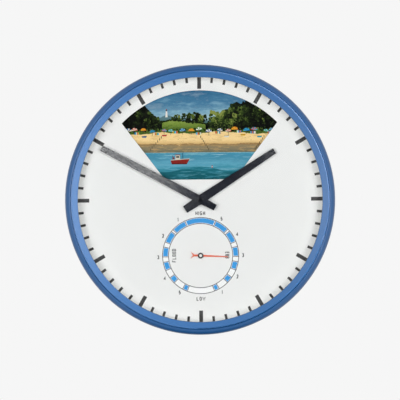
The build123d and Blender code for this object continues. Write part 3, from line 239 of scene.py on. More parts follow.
# Centre lines of the signs in a unit square, drawn as plain narrow capitals and figures
SIGNS = {
    "H": [[(0, 0), (0, 1)], [(1, 0), (1, 1)], [(0, 0.5), (1, 0.5)]],
    "I": [[(0.5, 0), (0.5, 1)]],
    "G": [[(1, 0.8), (0.9, 0.94), (0.5, 1), (0.1, 0.92), (0, 0.72), (0, 0.28), (0.1, 0.08), (0.5, 0),
           (0.9, 0.08), (1, 0.26), (1, 0.46), (0.55, 0.46)]],
    "L": [[(0, 1), (0, 0), (1, 0)]],
    "O": [[(0.5, 1), (0.1, 0.92), (0, 0.72), (0, 0.28), (0.1, 0.08), (0.5, 0), (0.9, 0.08), (1, 0.28),
           (1, 0.72), (0.9, 0.92), (0.5, 1)]],
    "W": [[(0, 1), (0.24, 0), (0.5, 0.8), (0.76, 0), (1, 1)]],
    "F": [[(0, 0), (0, 1), (1, 1)], [(0, 0.52), (0.8, 0.52)]],
    "D": [[(0, 0), (0, 1), (0.5, 1), (0.9, 0.9), (1, 0.7), (1, 0.3), (0.9, 0.1), (0.5, 0), (0, 0)]],
    "E": [[(1, 0), (0, 0), (0, 1), (1, 1)], [(0, 0.52), (0.85, 0.52)]],
    "B": [[(0, 0), (0, 1), (0.55, 1), (0.9, 0.92), (0.95, 0.76), (0.85, 0.58), (0.55, 0.52), (0, 0.52)],
          [(0.55, 0.52), (0.9, 0.44), (1, 0.27), (0.9, 0.07), (0.55, 0), (0, 0)]],
    "1": [[(0, 0.78), (0.7, 1), (0.7, 0)]],
    "2": [[(0, 0.8), (0.15, 0.95), (0.5, 1), (0.88, 0.93), (0.96, 0.74), (0.8, 0.5), (0, 0), (1, 0)]],
    "3": [[(0, 0.86), (0.2, 0.98), (0.5, 1), (0.88, 0.92), (0.95, 0.75), (0.8, 0.57), (0.4, 0.53)],
          [(0.4, 0.53), (0.86, 0.46), (1, 0.27), (0.88, 0.07), (0.5, 0), (0.15, 0.04), (0, 0.16)]],
    "4": [[(0.78, 0), (0.78, 1), (0, 0.3), (1, 0.3)]],
    "5": [[(0.92, 1), (0.12, 1), (0.06, 0.56), (0.45, 0.63), (0.86, 0.54), (1, 0.32), (0.88, 0.08), (0.45, 0),
           (0.12, 0.05), (0, 0.17)]],
}
SIGN_GAP = 1.0
SIGN_ROOM = {"I": 0, "W": 1.5}


def lettering(words, line, back, front):
    """Printed words: (text, middle, turn, height, width) each, every sign drawn with lines of even width.
    SIGN_ROOM names the signs that take less or more room across than the others."""
    paths = []
    for text, middle, turn, height, width in words:
        room = [SIGN_ROOM.get(sign, 1) for sign in text]
        total = sum(room) + SIGN_GAP * (len(text) - 1)
        unit = (width - line) / max(total, 1e-6) if total else 0
        start = -(width - line) / 2
        turn = radians(turn)
        for sign, wide in zip(text, room):
            for path in SIGNS[sign]:
                path = np.array(path, float)
                across = start + (path[:, 0] if wide else 0) * unit * (wide or 1)
                up = (path[:, 1] - 0.5) * (height - line)
                paths.append(np.stack([
                    middle[0] + across * np.cos(turn) + up * np.sin(turn),
                    middle[1] - across * np.sin(turn) + up * np.cos(turn),
                ], axis=1))
            start += (wide + SIGN_GAP) * unit
    return strokes(paths, line, back, front)


# Shared effects

EVEN = (1, 1, 1)
PATCH_SCALE = 18.0


def effect(name, inputs, outputs):
    """Empty shader node group with named sockets."""
    tree = bpy.data.node_groups.new(name, "ShaderNodeTree")
    for label, kind, value in inputs:
        socket = tree.interface.new_socket(label, in_out="INPUT", socket_type=kind)
        socket.default_value = value
    for label in outputs:
        tree.interface.new_socket(label, in_out="OUTPUT", socket_type="NodeSocketFloat")
    return tree, tree.nodes.new("NodeGroupInput"), tree.nodes.new("NodeGroupOutput")


def node(tree, kind, links=None, **values):
    """New node: values set its properties, links feed or set its sockets by name or number."""
    made = tree.nodes.new("ShaderNode" + kind)
    for key, value in values.items():
        setattr(made, key, value)
    for socket, source in (links or {}).items():
        target = made.inputs[socket]
        if isinstance(source, bpy.types.NodeSocket):
            tree.links.new(source, target)
        else:
            target.default_value = source
    return made


def maths(tree, operation, *values):
    return node(tree, "Math", dict(enumerate(values)), operation=operation).outputs[0]


def ranged(tree, value, start, end, low=0.0, high=1.0, curve="LINEAR"):
    """Value carried from one range to another and kept inside it."""
    return node(tree, "MapRange", {
        "Value": value, "From Min": start, "From Max": end, "To Min": low, "To Max": high,
    }, interpolation_type=curve).outputs[0]


def object_place(tree):
    return node(tree, "TexCoord").outputs["Object"]


def stretched_noise(tree, scale, stretch=EVEN, detail=3.0, rough=0.55):
    spread = node(tree, "VectorMath", {0: object_place(tree), 1: stretch}, operation="MULTIPLY").outputs[0]
    values = {"Vector": spread, "Scale": scale, "Detail": detail, "Roughness": rough}
    return node(tree, "TexNoise", values).outputs[0]


def grain_effect():
    """Fine surface grain: Tone varies over a wide area, Height is the fine relief."""
    tree, start, end = effect(
        "fine grain", [("Scale", "NodeSocketFloat", 1500), ("Stretch", "NodeSocketVector", EVEN)],
        ("Tone", "Height"))
    fine = stretched_noise(tree, start.outputs["Scale"], start.outputs["Stretch"])
    wide = stretched_noise(tree, PATCH_SCALE, detail=4.0, rough=0.6)
    tree.links.new(ranged(tree, maths(tree, "ADD", fine, wide), 0.7, 1.3), end.inputs["Tone"])
    tree.links.new(fine, end.inputs["Height"])
    return tree


def scuff_effect():
    """Faint wear: short hair lines where two stretched noises meet a threshold, thinned out in patches."""
    tree, start, end = effect("light wear", [("Amount", "NodeSocketFloat", 0.2)], ("Mask",))
    upright = stretched_noise(tree, 160.0, (1, 1, 14), 2.0)
    lying = stretched_noise(tree, 140.0, (12, 1, 1), 2.0)
    lines = ranged(tree, maths(tree, "MAXIMUM", upright, lying), 0.7, 0.78)
    patch = ranged(tree, stretched_noise(tree, 30.0), 0.45, 0.7)
    mask = maths(tree, "MULTIPLY", maths(tree, "MULTIPLY", lines, patch), start.outputs["Amount"])
    tree.links.new(mask, end.inputs["Mask"])
    return tree


def brush_effect():
    """Brush strokes of a painted print: lying streaks of two sizes as Tone, and their relief."""
    tree, start, end = effect(
        "brush strokes", [("Scale", "NodeSocketFloat", 60), ("Stretch", "NodeSocketVector", (1, 1, 6))],
        ("Tone", "Height"))
    wide = stretched_noise(tree, start.outputs["Scale"], start.outputs["Stretch"], 4.0, 0.6)
    finer_scale = maths(tree, "MULTIPLY", start.outputs["Scale"], 5.0)
    fine = stretched_noise(tree, finer_scale, start.outputs["Stretch"], 2.0, 0.5)
    tone = ranged(tree, maths(tree, "MULTIPLY_ADD", fine, 0.35, wide), 0.5, 0.86)
    tree.links.new(tone, end.inputs["Tone"])
    tree.links.new(fine, end.inputs["Height"])
    return tree


class Effects:
    """The shared node groups, made once."""

    makers = {"grain": grain_effect, "wear": scuff_effect, "brush": brush_effect}
    made = {}

    @classmethod
    def get(cls, name):
        if name not in cls.made:
            cls.made[name] = cls.makers[name]()
        return cls.made[name]


def use_effect(tree, name, **values):
    """Places a shared group in a material, with its own values."""
    placed = tree.nodes.new("ShaderNodeGroup")
    placed.node_tree = Effects.get(name)
    for socket, value in values.items():
        placed.inputs[socket].default_value = value
    return placed


# Finishes

PRINT_GLOSS = 0.05
PRINT_SPREAD = 0.08


def blank_finish(name, **plain):
    """Material with a plain shader; the given values go onto the shader's own sockets."""
    material = bpy.data.materials.new(name)
    material.use_nodes = True
    shader = material.node_tree.nodes["Principled BSDF"]
    for socket, value in plain.items():
        shader.inputs[socket.replace("_", " ")].default_value = value
    return material, material.node_tree, shader


def feed(tree, shader, tint, height, relief):
    """Gives a shader its colour and its relief."""
    tree.links.new(tint, shader.inputs["Base Color"])
    bump = node(tree, "Bump", {"Height": height, "Distance": relief, "Strength": 1.0})
    tree.links.new(bump.outputs[0], shader.inputs["Normal"])


def feed_pattern(tree, shader, pattern, tint, rough, spread, relief):
    """Colour, relief and a roughness that falls where the pattern's tone rises."""
    roughness = ranged(tree, pattern.outputs["Tone"], 0.0, 1.0, rough + spread, rough - spread)
    tree.links.new(roughness, shader.inputs["Roughness"])
    feed(tree, shader, tint, pattern.outputs["Height"], relief)


def mixed_colour(tree, share, one, two):
    mix = node(tree, "Mix", data_type="RGBA")
    for socket, value in ((0, share), (6, one), (7, two)):
        if isinstance(value, bpy.types.NodeSocket):
            tree.links.new(value, mix.inputs[socket])
        else:
            mix.inputs[socket].default_value = (*value, 1) if socket else value
    return mix.outputs[2]


def darker(colour, share):
    return tuple(v * share for v in colour)


def surface(name, colour, rough, scale=1500, stretch=EVEN, shade=0.9, spread=0.06, relief=0.000006,
            wear=0.0, worn=(0.6, 0.6, 0.6), **plain):
    """Finish with fine grain: colour and roughness vary with the grain's tone, wear lightens hair lines."""
    material, tree, shader = blank_finish(name, **plain)
    grain = use_effect(tree, "grain", Scale=scale, Stretch=stretch)
    tint = mixed_colour(tree, grain.outputs["Tone"], darker(colour, shade), colour)
    if wear:
        scuffs = use_effect(tree, "wear", Amount=wear)
        tint = mixed_colour(tree, scuffs.outputs["Mask"], tint, worn)
    feed_pattern(tree, shader, grain, tint, rough, spread, relief)
    return material


def metal(name, colour, rough, **values):
    return surface(name, colour, rough, Metallic=1.0, **values)


def ink_finish(name, colour, shade, scale=2500, rough=0.5):
    """Thin ink printed on the dial."""
    return surface(name, colour, rough, scale=scale, shade=shade, relief=0.000004)


def ramp(tree, value, stops):
    """Colour ramp with the given (place, colour) stops."""
    made = node(tree, "ValToRGB", {"Fac": value})
    band = made.color_ramp
    while len(band.elements) < len(stops):
        band.elements.new(0.5)
    for element, (place, colour) in zip(band.elements, stops):
        element.position, element.color = place, (*colour, 1)
    return made.outputs[0]


def print_ramp(tree, pattern, sway, share, stops):
    """Printed colours along a share that sways with a pattern; the stops are rows of place, red, green
    and blue."""
    shift = maths(tree, "SUBTRACT", pattern.outputs["Tone"], 0.5)
    swayed = maths(tree, "MULTIPLY_ADD", shift, sway, share)
    return ramp(tree, swayed, [(place, rgb(*colour)) for place, *colour in stops])


def painted(name, stops, low, high, scale, stretch, sway, fleck=None, fleck_share=0.5, fleck_from=0.55,
            fleck_to=0.8):
    """Printed paint: the colour follows the height between low and high, swayed by brush strokes, and
    flecks of a second colour lie where the strokes are strongest."""
    material, tree, shader = blank_finish(name, Specular_IOR_Level=PRINT_GLOSS)
    brush = use_effect(tree, "brush", Scale=scale, Stretch=stretch)
    up = node(tree, "SeparateXYZ", {0: object_place(tree)}).outputs["Z"]
    tint = print_ramp(tree, brush, sway, ranged(tree, up, low * MM, high * MM), stops)
    if fleck:
        mask = ranged(tree, brush.outputs["Tone"], fleck_from, fleck_to, 0.0, fleck_share)
        tint = mixed_colour(tree, mask, tint, rgb(*fleck))
    feed_pattern(tree, shader, brush, tint, 0.55, PRINT_SPREAD, 0.00002)
    return material


def toned(name, stops, rough=0.6):
    """Printed paint whose colour comes from each shape's own tone, varied by grain."""
    material, tree, shader = blank_finish(name, Specular_IOR_Level=PRINT_GLOSS)
    grain = use_effect(tree, "grain", Scale=900)
    own = node(tree, "Attribute", attribute_name="tone").outputs["Fac"]
    tint = print_ramp(tree, grain, 0.25, own, stops)
    feed_pattern(tree, shader, grain, tint, rough, PRINT_SPREAD, 0.00002)
    return material


def coloured(name):
    """Printed paint whose colour is each shape's own, varied by grain."""
    material, tree, shader = blank_finish(name, Specular_IOR_Level=PRINT_GLOSS)
    grain = use_effect(tree, "grain", Scale=1200)
    own = node(tree, "Attribute", attribute_name="tone").outputs["Color"]
    dark = ranged(tree, grain.outputs["Tone"], 0.0, 1.0, 0.78, 1.08)
    tint = node(tree, "VectorMath", {0: own, "Scale": dark}, operation="SCALE").outputs[0]
    feed_pattern(tree, shader, grain, tint, 0.5, PRINT_SPREAD, 0.00001)
    return material


def dress(finish, *names):
    """Gives a finish to CAD nodes."""
    for name in names:
        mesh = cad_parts[name].data
        mesh.materials.clear()
        mesh.materials.append(finish)


def both(kind):
    """Names of the same node in the two movements."""
    return f"time_{kind}", f"tide_{kind}"


# Settings


def length(name, text, default):
    return FloatProperty(name=name, description=text, default=default * MM, min=0, unit="LENGTH", precision=5)


def colour(name, text, default):
    return FloatVectorProperty(
        name=name, description=text, default=default, size=3, min=0, max=1, subtype="COLOR")


def amount(name, text, default, unit="NONE"):
    return FloatProperty(name=name, description=text, default=default, unit=unit)


class DialSettings(bpy.types.PropertyGroup):
    hour_mark_start: length("Hour mark start", "Radius at which the hour marks begin", 148.0)
    hour_mark_width: length("Hour mark width", "Width of the hour marks", 5.1)
    minute_mark_start: length("Minute mark start", "Radius at which the minute marks begin", 156.4)
    minute_mark_width: length("Minute mark width", "Width of the minute marks", 3.4)
    mark_end: length("Mark end", "Radius at which all marks end, under the bezel", 164.1)
    ink: length("Ink", "Thickness of the dial's print", 0.03)
    ring_inner: length("Tide ring inner line", "Radius of the tide ring's inner line", 42.8)
    ring_outer: length("Tide ring outer line", "Radius of the tide ring's outer line", 50.8)
    ring_line: length("Tide ring line", "Width of the tide ring's lines", 0.9)
    figure_circle: length("Figure circle", "Radius on which the tide figures stand", 56.6)
    figure_height: length("Figure height", "Height of the tide figures", 5.3)
    figure_line: length("Figure line", "Width of the lines of figures and words", 0.94)
    mark_colour: colour("Marks", "Colour of the hour and minute marks", rgb(34, 33, 34))
    line_colour: colour("Lines", "Colour of the tide ring's lines", rgb(40, 38, 40))
    figure_colour: colour("Figures", "Colour of figures and words", rgb(30, 30, 34))
    tide_colour: colour("Tide bars", "Colour of the bars of the tide ring", rgb(8, 150, 226))


class CaseSettings(bpy.types.PropertyGroup):
    case_colour: colour("Case", "Paint of the case", rgb(28, 86, 142))
    bezel_colour: colour("Bezel", "Paint of the bezel", rgb(36, 86, 137))
    dial_colour: colour("Dial", "Paint of the dial", rgb(240, 240, 239))
    hand_colour: colour("Hands", "Paint of the hour and minute hand", rgb(12, 14, 21))
    pointer_colour: colour("Tide hand", "Paint of the tide hand", rgb(228, 100, 66))


class PictureSettings(bpy.types.PropertyGroup):
    seed: IntProperty(name="Seed", description="Start of the picture's random draws", default=11)
    trees: IntProperty(name="Trees", description="Number of trees in the woods", default=150, min=1)
    shades: IntProperty(name="Parasols", description="Number of parasols on the sand", default=17, min=1)


class StageSettings(bpy.types.PropertyGroup):
    camera_distance: amount("Camera distance", "Distance of the camera from the clock", 4.0, "LENGTH")
    view_width: amount("View width", "Width seen at the case's widest place", 0.533, "LENGTH")
    main_light: amount("Main lights", "Power of the two lights beside the camera", 37.5, "POWER")
    rim_light: amount("Rim lights", "Power of the side lights that the bezel mirrors", 33, "POWER")
    sheen: amount("Sheen", "Power of the light that the hands mirror", 10.0, "POWER")
    room_light: amount("Room light", "Even light of the room in front of the clock", 0.16)
    back_light: amount("Back light", "Even light of the room behind the clock", 0.8)
    walls: amount("Walls", "Brightness of the walls that paint mirrors", 0.95)
    left_wall: amount("Left wall", "Extra brightness of the left wall", 0.2)
    right_wall: amount("Right wall", "Extra brightness of the right wall", 0.3)


def settings(kind):
    return getattr(bpy.context.scene, "tide_clock_" + kind)


def sizes(group, *names):
    """Lengths of a settings group in millimetres."""
    return [getattr(group, name) / MM for name in names]


# Prints on the dial. Turns are in degrees, clockwise from the top; lengths are in millimetres.

MARK_STEP = 360 / 60
HOUR_STEP = 360 / 12
RING_STEPS = 144
# Turns of the tide ring's bars on its right half; the left half mirrors them
BAR_STARTS = np.array([25.2, 51.0, 77.4, 100.8, 126.4, 152.2])
BAR_ENDS = np.array([45.4, 67.6, 90.6, 111.8, 134.4, 157.8])
TOP_BAR_END = 22.4
# Gaps of a bar: to the line at its end as a turn, to the inner and to the outer line of the ring
BAR_END_GAP = 1.1
BAR_INNER_GAP, BAR_OUTER_GAP = 1.0, 0.9
FIGURE_WIDTHS = {"1": 1.9, "2": 2.7, "3": 2.6, "4": 3.0, "5": 2.6}
FIGURE_BOLD = 1.2
# The four upper figures at the left stand this turn further round than those at the right
LEFT_FIGURE_SHIFT = 1.8
WORD_HEIGHT = 5.4
# Words of the tide dial: text, place from the tide hand's axis, turn and width
WORDS = (
    ("HIGH", 0, 56.5, 0, 13.0),
    ("LOW", 0, -57.6, 0, 11.8),
    ("FLOOD", -35.4, 0.3, -90, 17.8),
    ("EBB", 35.6, 0.3, 90, 9.0),
)


class TIDECLOCK_OT_marks(bpy.types.Operator):
    """Print the hour and minute marks on the dial"""

    bl_idname = "tide_clock.marks"
    bl_label = "Hour and minute marks"

    def execute(self, context):
        dial = settings("dial")
        end, ink = sizes(dial, "mark_end", "ink")
        black = ink_finish("mark ink", dial.mark_colour, 0.8)
        turns = np.arange(60) * MARK_STEP
        hours = turns % HOUR_STEP == 0
        for kind, some in (("hour", turns[hours]), ("minute", turns[~hours])):
            start, width = sizes(dial, f"{kind}_mark_start", f"{kind}_mark_width")
            bars = prisms(spokes(some, start, end, width), DIAL, DIAL + ink)
            make_piece(f"{kind}_marks", bars, black, "clock")
        return {"FINISHED"}


class TIDECLOCK_OT_tide_ring(bpy.types.Operator):
    """Print the ring of the tide dial: its lines, its bars and its pale ground"""

    bl_idname = "tide_clock.tide_ring"
    bl_label = "Tide ring"

    def execute(self, context):
        dial = settings("dial")
        inner, outer, line, ink = sizes(dial, "ring_inner", "ring_outer", "ring_line", "ink")
        grey = ink_finish("line ink", dial.line_colour, 0.85)
        blue = ink_finish("tide ink", dial.tide_colour, 0.92, 2000, 0.45)
        pale = ink_finish("pale ink", rgb(250, 250, 250), 0.98, 2000)
        ground = self.ring(inner, outer, ink / 3)
        make_piece("tide_ring_ground", ground, pale, "clock")
        circles = [self.ring(radius - line / 2, radius + line / 2, ink) for radius in (inner, outer)]
        turns = np.concatenate([BAR_STARTS - BAR_END_GAP, BAR_ENDS + BAR_END_GAP])
        cross = spokes(np.concatenate([turns, -turns]), inner, outer, line, TIDE_CENTRE)
        lines = joined(*circles, prisms(cross, DIAL, DIAL + 0.9 * ink))
        make_piece("tide_ring_lines", lines, grey, "clock")
        bars = arcs(
            np.concatenate([[-TOP_BAR_END], BAR_STARTS, -BAR_ENDS]),
            np.concatenate([[TOP_BAR_END], BAR_ENDS, -BAR_STARTS]),
            inner + BAR_INNER_GAP, outer - BAR_OUTER_GAP, DIAL, DIAL + 0.8 * ink, TIDE_CENTRE)
        make_piece("tide_ring_bars", bars, blue, "clock")
        return {"FINISHED"}

    def ring(self, inner, outer, ink):
        return arcs([0], [360], inner, outer, DIAL, DIAL + ink, TIDE_CENTRE, steps=RING_STEPS)


class TIDECLOCK_OT_figures(bpy.types.Operator):
    """Print the figures and words of the tide dial"""

    bl_idname = "tide_clock.figures"
    bl_label = "Figures and words"

    def execute(self, context):
        dial = settings("dial")
        circle, height, line, ink = sizes(dial, "figure_circle", "figure_height", "figure_line", "ink")
        black = ink_finish("figure ink", dial.figure_colour, 0.85)
        figures = []
        for k in range(1, 6):
            shift = LEFT_FIGURE_SHIFT if k < 5 else 0
            for figure, turn in ((str(6 - k), HOUR_STEP * k), (str(k), -HOUR_STEP * k - shift)):
                middle = on_circle(TIDE_CENTRE, circle, turn)
                figures.append((figure, middle, 0, height, FIGURE_WIDTHS[figure]))
        signs = lettering(figures, line * FIGURE_BOLD, DIAL, DIAL + ink)
        make_piece("tide_figures", signs, black, "clock")
        x, z = TIDE_CENTRE
        words = [
            (text, (x + right, z + up), turn, WORD_HEIGHT, width) for text, right, up, turn, width in WORDS]
        signs = lettering(words, line, DIAL, DIAL + ink)
        make_piece("tide_words", signs, black, "clock")
        return {"FINISHED"}


# Picture in the window. A layer is a level in front of its plate; knots are places (x, z) on a line.

HILL_LAYER, MEADOW_LAYER, WOOD_LAYER, SAND_LAYER, TREE_LAYER, BEACH_LAYER = 0.1, 0.17, 0.2, 0.25, 0.28, 0.56
PLATE_EDGE = 0.4
HILLS = [(-90, 100), (-62, 108), (-44, 113), (-26, 109), (0, 105), (24, 108), (48, 100)]
MEADOW = [
    (-148, 99), (-90, 98), (-60, 103), (-34, 107), (-10, 104), (20, 100), (60, 97), (100, 99), (148, 99)]
WOOD_LEFT = [(-148, 126), (-104, 125), (-86, 129), (-72, 124), (-60, 112), (-48, 102)]
WOOD_MIDDLE = [(-34, 112), (-24, 116), (-10, 118), (4, 115), (18, 119), (30, 115)]
WOOD_RIGHT = [(8, 101), (24, 112), (40, 122), (58, 130), (80, 126), (104, 117), (148, 114)]
SAND = [(-148, 87), (-84, 87.5), (-50, 90.5), (-12, 88), (30, 91), (70, 88), (148, 88)]
# Draws under these limits place a tree in the left wood or behind the meadow, the others in the right wood
LEFT_LIMIT, MIDDLE_LIMIT = 0.34, 0.48
HEDGE_COUNT, BUSH_COUNT, PEBBLE_COUNT = 120, 170, 90
LEAF_PATCHES = 14
CLOTHS = (
    (30, 104, 168), (240, 228, 200), (238, 182, 42), (60, 172, 200), (200, 62, 62), (84, 156, 78),
    (128, 196, 224), (226, 122, 48), (240, 236, 228), (44, 82, 146))
WINDBREAKS = (-87, -61, -36, -5, 21, 49, 68, 91)
# Small boats on the sand: x, z and number of the cloth colour
DINGHIES = ((-74, 83.4, 0), (-47, 85.0, 4), (36, 83.2, 8), (58, 85.2, 2), (80, 82.6, 3))
# Breakwaters: x of the lowest post, and how far the row leans to the right
BREAKWATERS = ((-66, 0.5), (12, -0.35), (74, 0.4))
LIGHTHOUSE = (-44.0, 110.5)
BOAT_PLACE, BOAT_SCALE = (-27, 47.5), 1.25
BUOY = 16.4


def height_at(knots, x):
    """Height of the line through the knots at x."""
    return np.interp(x, [k[0] for k in knots], [k[1] for k in knots])


def land(name, knots, lower, depth, finish, seed, wave_sizes, reach=(-148, 148)):
    """Strip of land on the far plate: its upper edge runs through the knots, roughened by waves, and is
    kept inside the plate's round edge."""
    x = np.linspace(*reach, 360)
    window = np.hanning(13)
    smooth = np.convolve(np.pad(height_at(knots, x), 6, mode="edge"), window / window.sum(), "valid")
    edge = np.sqrt(np.maximum((FAR_RADIUS - PLATE_EDGE) ** 2 - x**2, 0))
    upper = np.minimum(smooth + waves(x, seed, wave_sizes), edge)
    keep = upper > lower + 0.2
    x, upper = x[keep], upper[keep]
    strip = band(x, np.full(len(x), float(lower)), upper, FAR, FAR + depth)
    make_piece(name, strip, finish, "clock")


def sky_paint():
    stops = ((0.0, 164, 196, 208), (0.25, 126, 170, 192), (0.55, 74, 126, 160), (1.0, 42, 98, 138))
    return painted("painted sky", stops, 102, 148, 24, (1, 1, 3.2), 0.5, (168, 192, 204), 0.4, fleck_to=0.95)


def hill_paint():
    return painted("painted hills", ((0.0, 70, 100, 92), (1.0, 92, 128, 138)), 96, 113, 90, (1, 1, 2), 0.5)


def grass_paint():
    stops = ((0.0, 66, 92, 34), (0.45, 104, 130, 52), (0.8, 132, 156, 66), (1.0, 158, 176, 92))
    return painted("painted grass", stops, 90, 107, 200, (1, 1, 1.4), 0.7, (54, 78, 30), fleck_to=0.85)


def wood_paint():
    stops = ((0.0, 2, 3, 2), (1.0, 7, 10, 5))
    return painted("painted wood shade", stops, 92, 125, 160, EVEN, 0.6, (24, 27, 12))


def sand_paint():
    """Wet ground below, a dark tide line and dry sand above."""
    stops = (
        (0.0, 44, 76, 72), (0.36, 72, 92, 74), (0.54, 112, 112, 92), (0.6, 134, 124, 98),
        (0.68, 150, 132, 98), (0.71, 150, 118, 74), (0.73, 224, 186, 124), (0.8, 248, 216, 154),
        (1.0, 246, 214, 150))
    return painted("painted sand", stops, 30, 92, 60, (1, 1, 7), 0.05, (206, 168, 108))


def sea_paint():
    stops = (
        (0.0, 14, 80, 94), (0.39, 24, 96, 110), (0.5, 46, 126, 144), (0.61, 72, 150, 172),
        (0.71, 96, 166, 190), (0.84, 74, 144, 170), (0.94, 70, 144, 172), (1.0, 104, 166, 184))
    return painted(
        "painted sea", stops, 8, WATER_LINE, 42, (1, 1, 7), 0.16, (126, 184, 204), 0.4, 0.62, 0.95)


def near_water_paint():
    stops = ((0.0, 16, 82, 92), (0.4, 22, 94, 106), (0.8, 38, 116, 132), (1.0, 56, 136, 156))
    return painted("painted near water", stops, 26, 45, 46, (1, 1, 7), 0.5, (70, 148, 168), 0.5, 0.6, 0.95)


def leaf_paint():
    return toned("painted leaves", (
        (0.0, 2, 4, 2), (0.3, 9, 14, 6), (0.6, 38, 54, 20), (0.85, 92, 112, 46), (1.0, 136, 146, 72)))


def pebble_paint():
    return toned("painted pebbles", ((0.0, 82, 70, 54), (0.6, 150, 130, 98), (1.0, 228, 214, 180)))


def foam_paint():
    stops = ((0.0, 84, 156, 182), (0.6, 124, 184, 204), (1.0, 176, 208, 216))
    return toned("painted foam", stops, rough=0.5)


def near_foam_paint():
    return toned("painted near foam", ((0.0, 40, 118, 136), (1.0, 104, 172, 188)), rough=0.5)


class TIDECLOCK_OT_far_picture(bpy.types.Operator):
    """Paint the far part of the picture: sky, hills, meadow, woods and sand"""

    bl_idname = "tide_clock.far_picture"
    bl_label = "Sky, hills, woods and sand"

    def execute(self, context):
        seed = settings("picture").seed
        dress(sky_paint(), "background_plate")
        land("picture_hills", HILLS, 94, HILL_LAYER, hill_paint(), seed, [(23, 0.5), (9, 0.25), (4, 0.12)])
        land("picture_meadow", MEADOW, 86, MEADOW_LAYER, grass_paint(), seed + 1,
             [(31, 0.7), (11, 0.35), (3.5, 0.18)])
        wood = wood_paint()
        land("picture_wood_left", WOOD_LEFT, 93, WOOD_LAYER, wood, seed + 2,
             [(9, 1.1), (4, 0.6), (1.9, 0.3)], reach=(-148, -50))
        land("picture_wood_right", WOOD_RIGHT, 93, WOOD_LAYER, wood, seed + 3,
             [(8, 1.1), (4.2, 0.6), (2.1, 0.3)], reach=(8, 148))
        land("picture_sand", SAND, FAR_BOTTOM + PLATE_EDGE, SAND_LAYER, sand_paint(), seed + 4,
             [(37, 0.5), (13, 0.3), (5, 0.15)])
        return {"FINISHED"}


def tree_places(draw, count):
    """Places, feet and tops of the woods' trees: the woods at both sides are the tallest, and a few trees
    stand behind the meadow."""
    share = draw.random(count)
    left = share < LEFT_LIMIT
    middle = ~left & (share < MIDDLE_LIMIT)
    x = np.select(
        [left, middle], [-112 + 60 * draw.random(count), -36 + 66 * draw.random(count)],
        14 + 98 * draw.random(count))
    tall = np.select(
        [left, middle], [height_at(WOOD_LEFT, x), height_at(WOOD_MIDDLE, x)], height_at(WOOD_RIGHT, x))
    foot = np.where(middle, height_at(MEADOW, x) - 1, 93.5 + 2.5 * draw.random(count))
    reach = np.where(middle, 0.7 + 0.3 * draw.random(count), 0.35 + 0.75 * draw.random(count))
    return x, foot, np.maximum(foot + (tall - foot) * reach, foot + 3)


class TIDECLOCK_OT_trees(bpy.types.Operator):
    """Paint the trees of the woods and the hedges of the meadow"""

    bl_idname = "tide_clock.trees"
    bl_label = "Trees and hedges"

    def execute(self, context):
        picture = settings("picture")
        draw = np.random.default_rng(picture.seed + 20)
        x, foot, top = tree_places(draw, picture.trees)
        order = np.argsort(-top)
        x, foot, top = (row[order, None] for row in (x, foot, top))
        each = (len(x), LEAF_PATCHES)
        tall = top - foot
        up = draw.random(each) ** 0.8
        wide = tall * 0.2 * (1.25 - up) + 0.8
        places = np.stack([x + wide * (draw.random(each) * 2 - 1), foot + tall * up], axis=2)
        size = (0.6 + 0.1 * tall) * (0.6 + 0.5 * draw.random(each))
        own = draw.random((len(x), 1)) ** 1.5 * 0.7
        far_side = (np.abs(x) / 105) ** 2 * 0.6
        shade = np.clip(own + 0.3 * up + 0.25 * draw.random(each) - far_side, 0, 1)
        hedge_x = np.linspace(-58, 26, HEDGE_COUNT) + draw.random(HEDGE_COUNT)
        hedge = np.stack([hedge_x, height_at(MEADOW, hedge_x) - 0.6 + 1.2 * draw.random(HEDGE_COUNT)], axis=1)
        bush_x = np.linspace(-100, 104, BUSH_COUNT) + draw.random(BUSH_COUNT)
        bushes = np.stack([bush_x, 91.4 + 3.4 * draw.random(BUSH_COUNT)], axis=1)
        places = np.concatenate([places.reshape(-1, 2), hedge, bushes])
        radii = np.concatenate([
            size.ravel(), 0.5 + 0.9 * draw.random(HEDGE_COUNT), 0.7 + 1.1 * draw.random(BUSH_COUNT)])
        tones = np.concatenate([
            shade.ravel(), 0.1 + 0.45 * draw.random(HEDGE_COUNT), 0.15 + 0.75 * draw.random(BUSH_COUNT)])
        inside = np.hypot(*places.T) + radii * 1.2 < FAR_RADIUS
        leaves = domes(places[inside], radii[inside], tones[inside], FAR + TREE_LAYER, seed=picture.seed)
        make_piece("picture_trees", leaves, leaf_paint(), "clock")
        return {"FINISHED"}


def shape_set(parts, level):
    """Joins flat shapes with one colour each: rows of (outline, colour, thickness)."""
    shapes, tints = [], []
    for outline, tint, ink in parts:
        shapes.append(prisms([outline], level, level + ink))
        tints.append(np.tile(rgb(*tint), (2 * len(outline), 1)))
    return *joined(*shapes), np.concatenate(tints)


def upright(x, low, high, half, top_half=None):
    """Outline of a standing shape about x, with half its width at the foot and at the top."""
    top_half = half if top_half is None else top_half
    return [(x - half, low), (x + half, low), (x + top_half, high), (x - top_half, high)]


def moved(outline, x, z, scale=1):
    return [(x + scale * right, z + scale * up) for right, up in outline]


def fan_slice(x, z, radius, start, end):
    """Slice of a parasol, from turn to turn in degrees from the right, anticlockwise."""
    turns = np.radians(np.linspace(start, end, 5))
    return [(x, z), *((x + radius * np.cos(t), z + 0.9 * radius * np.sin(t)) for t in turns)]


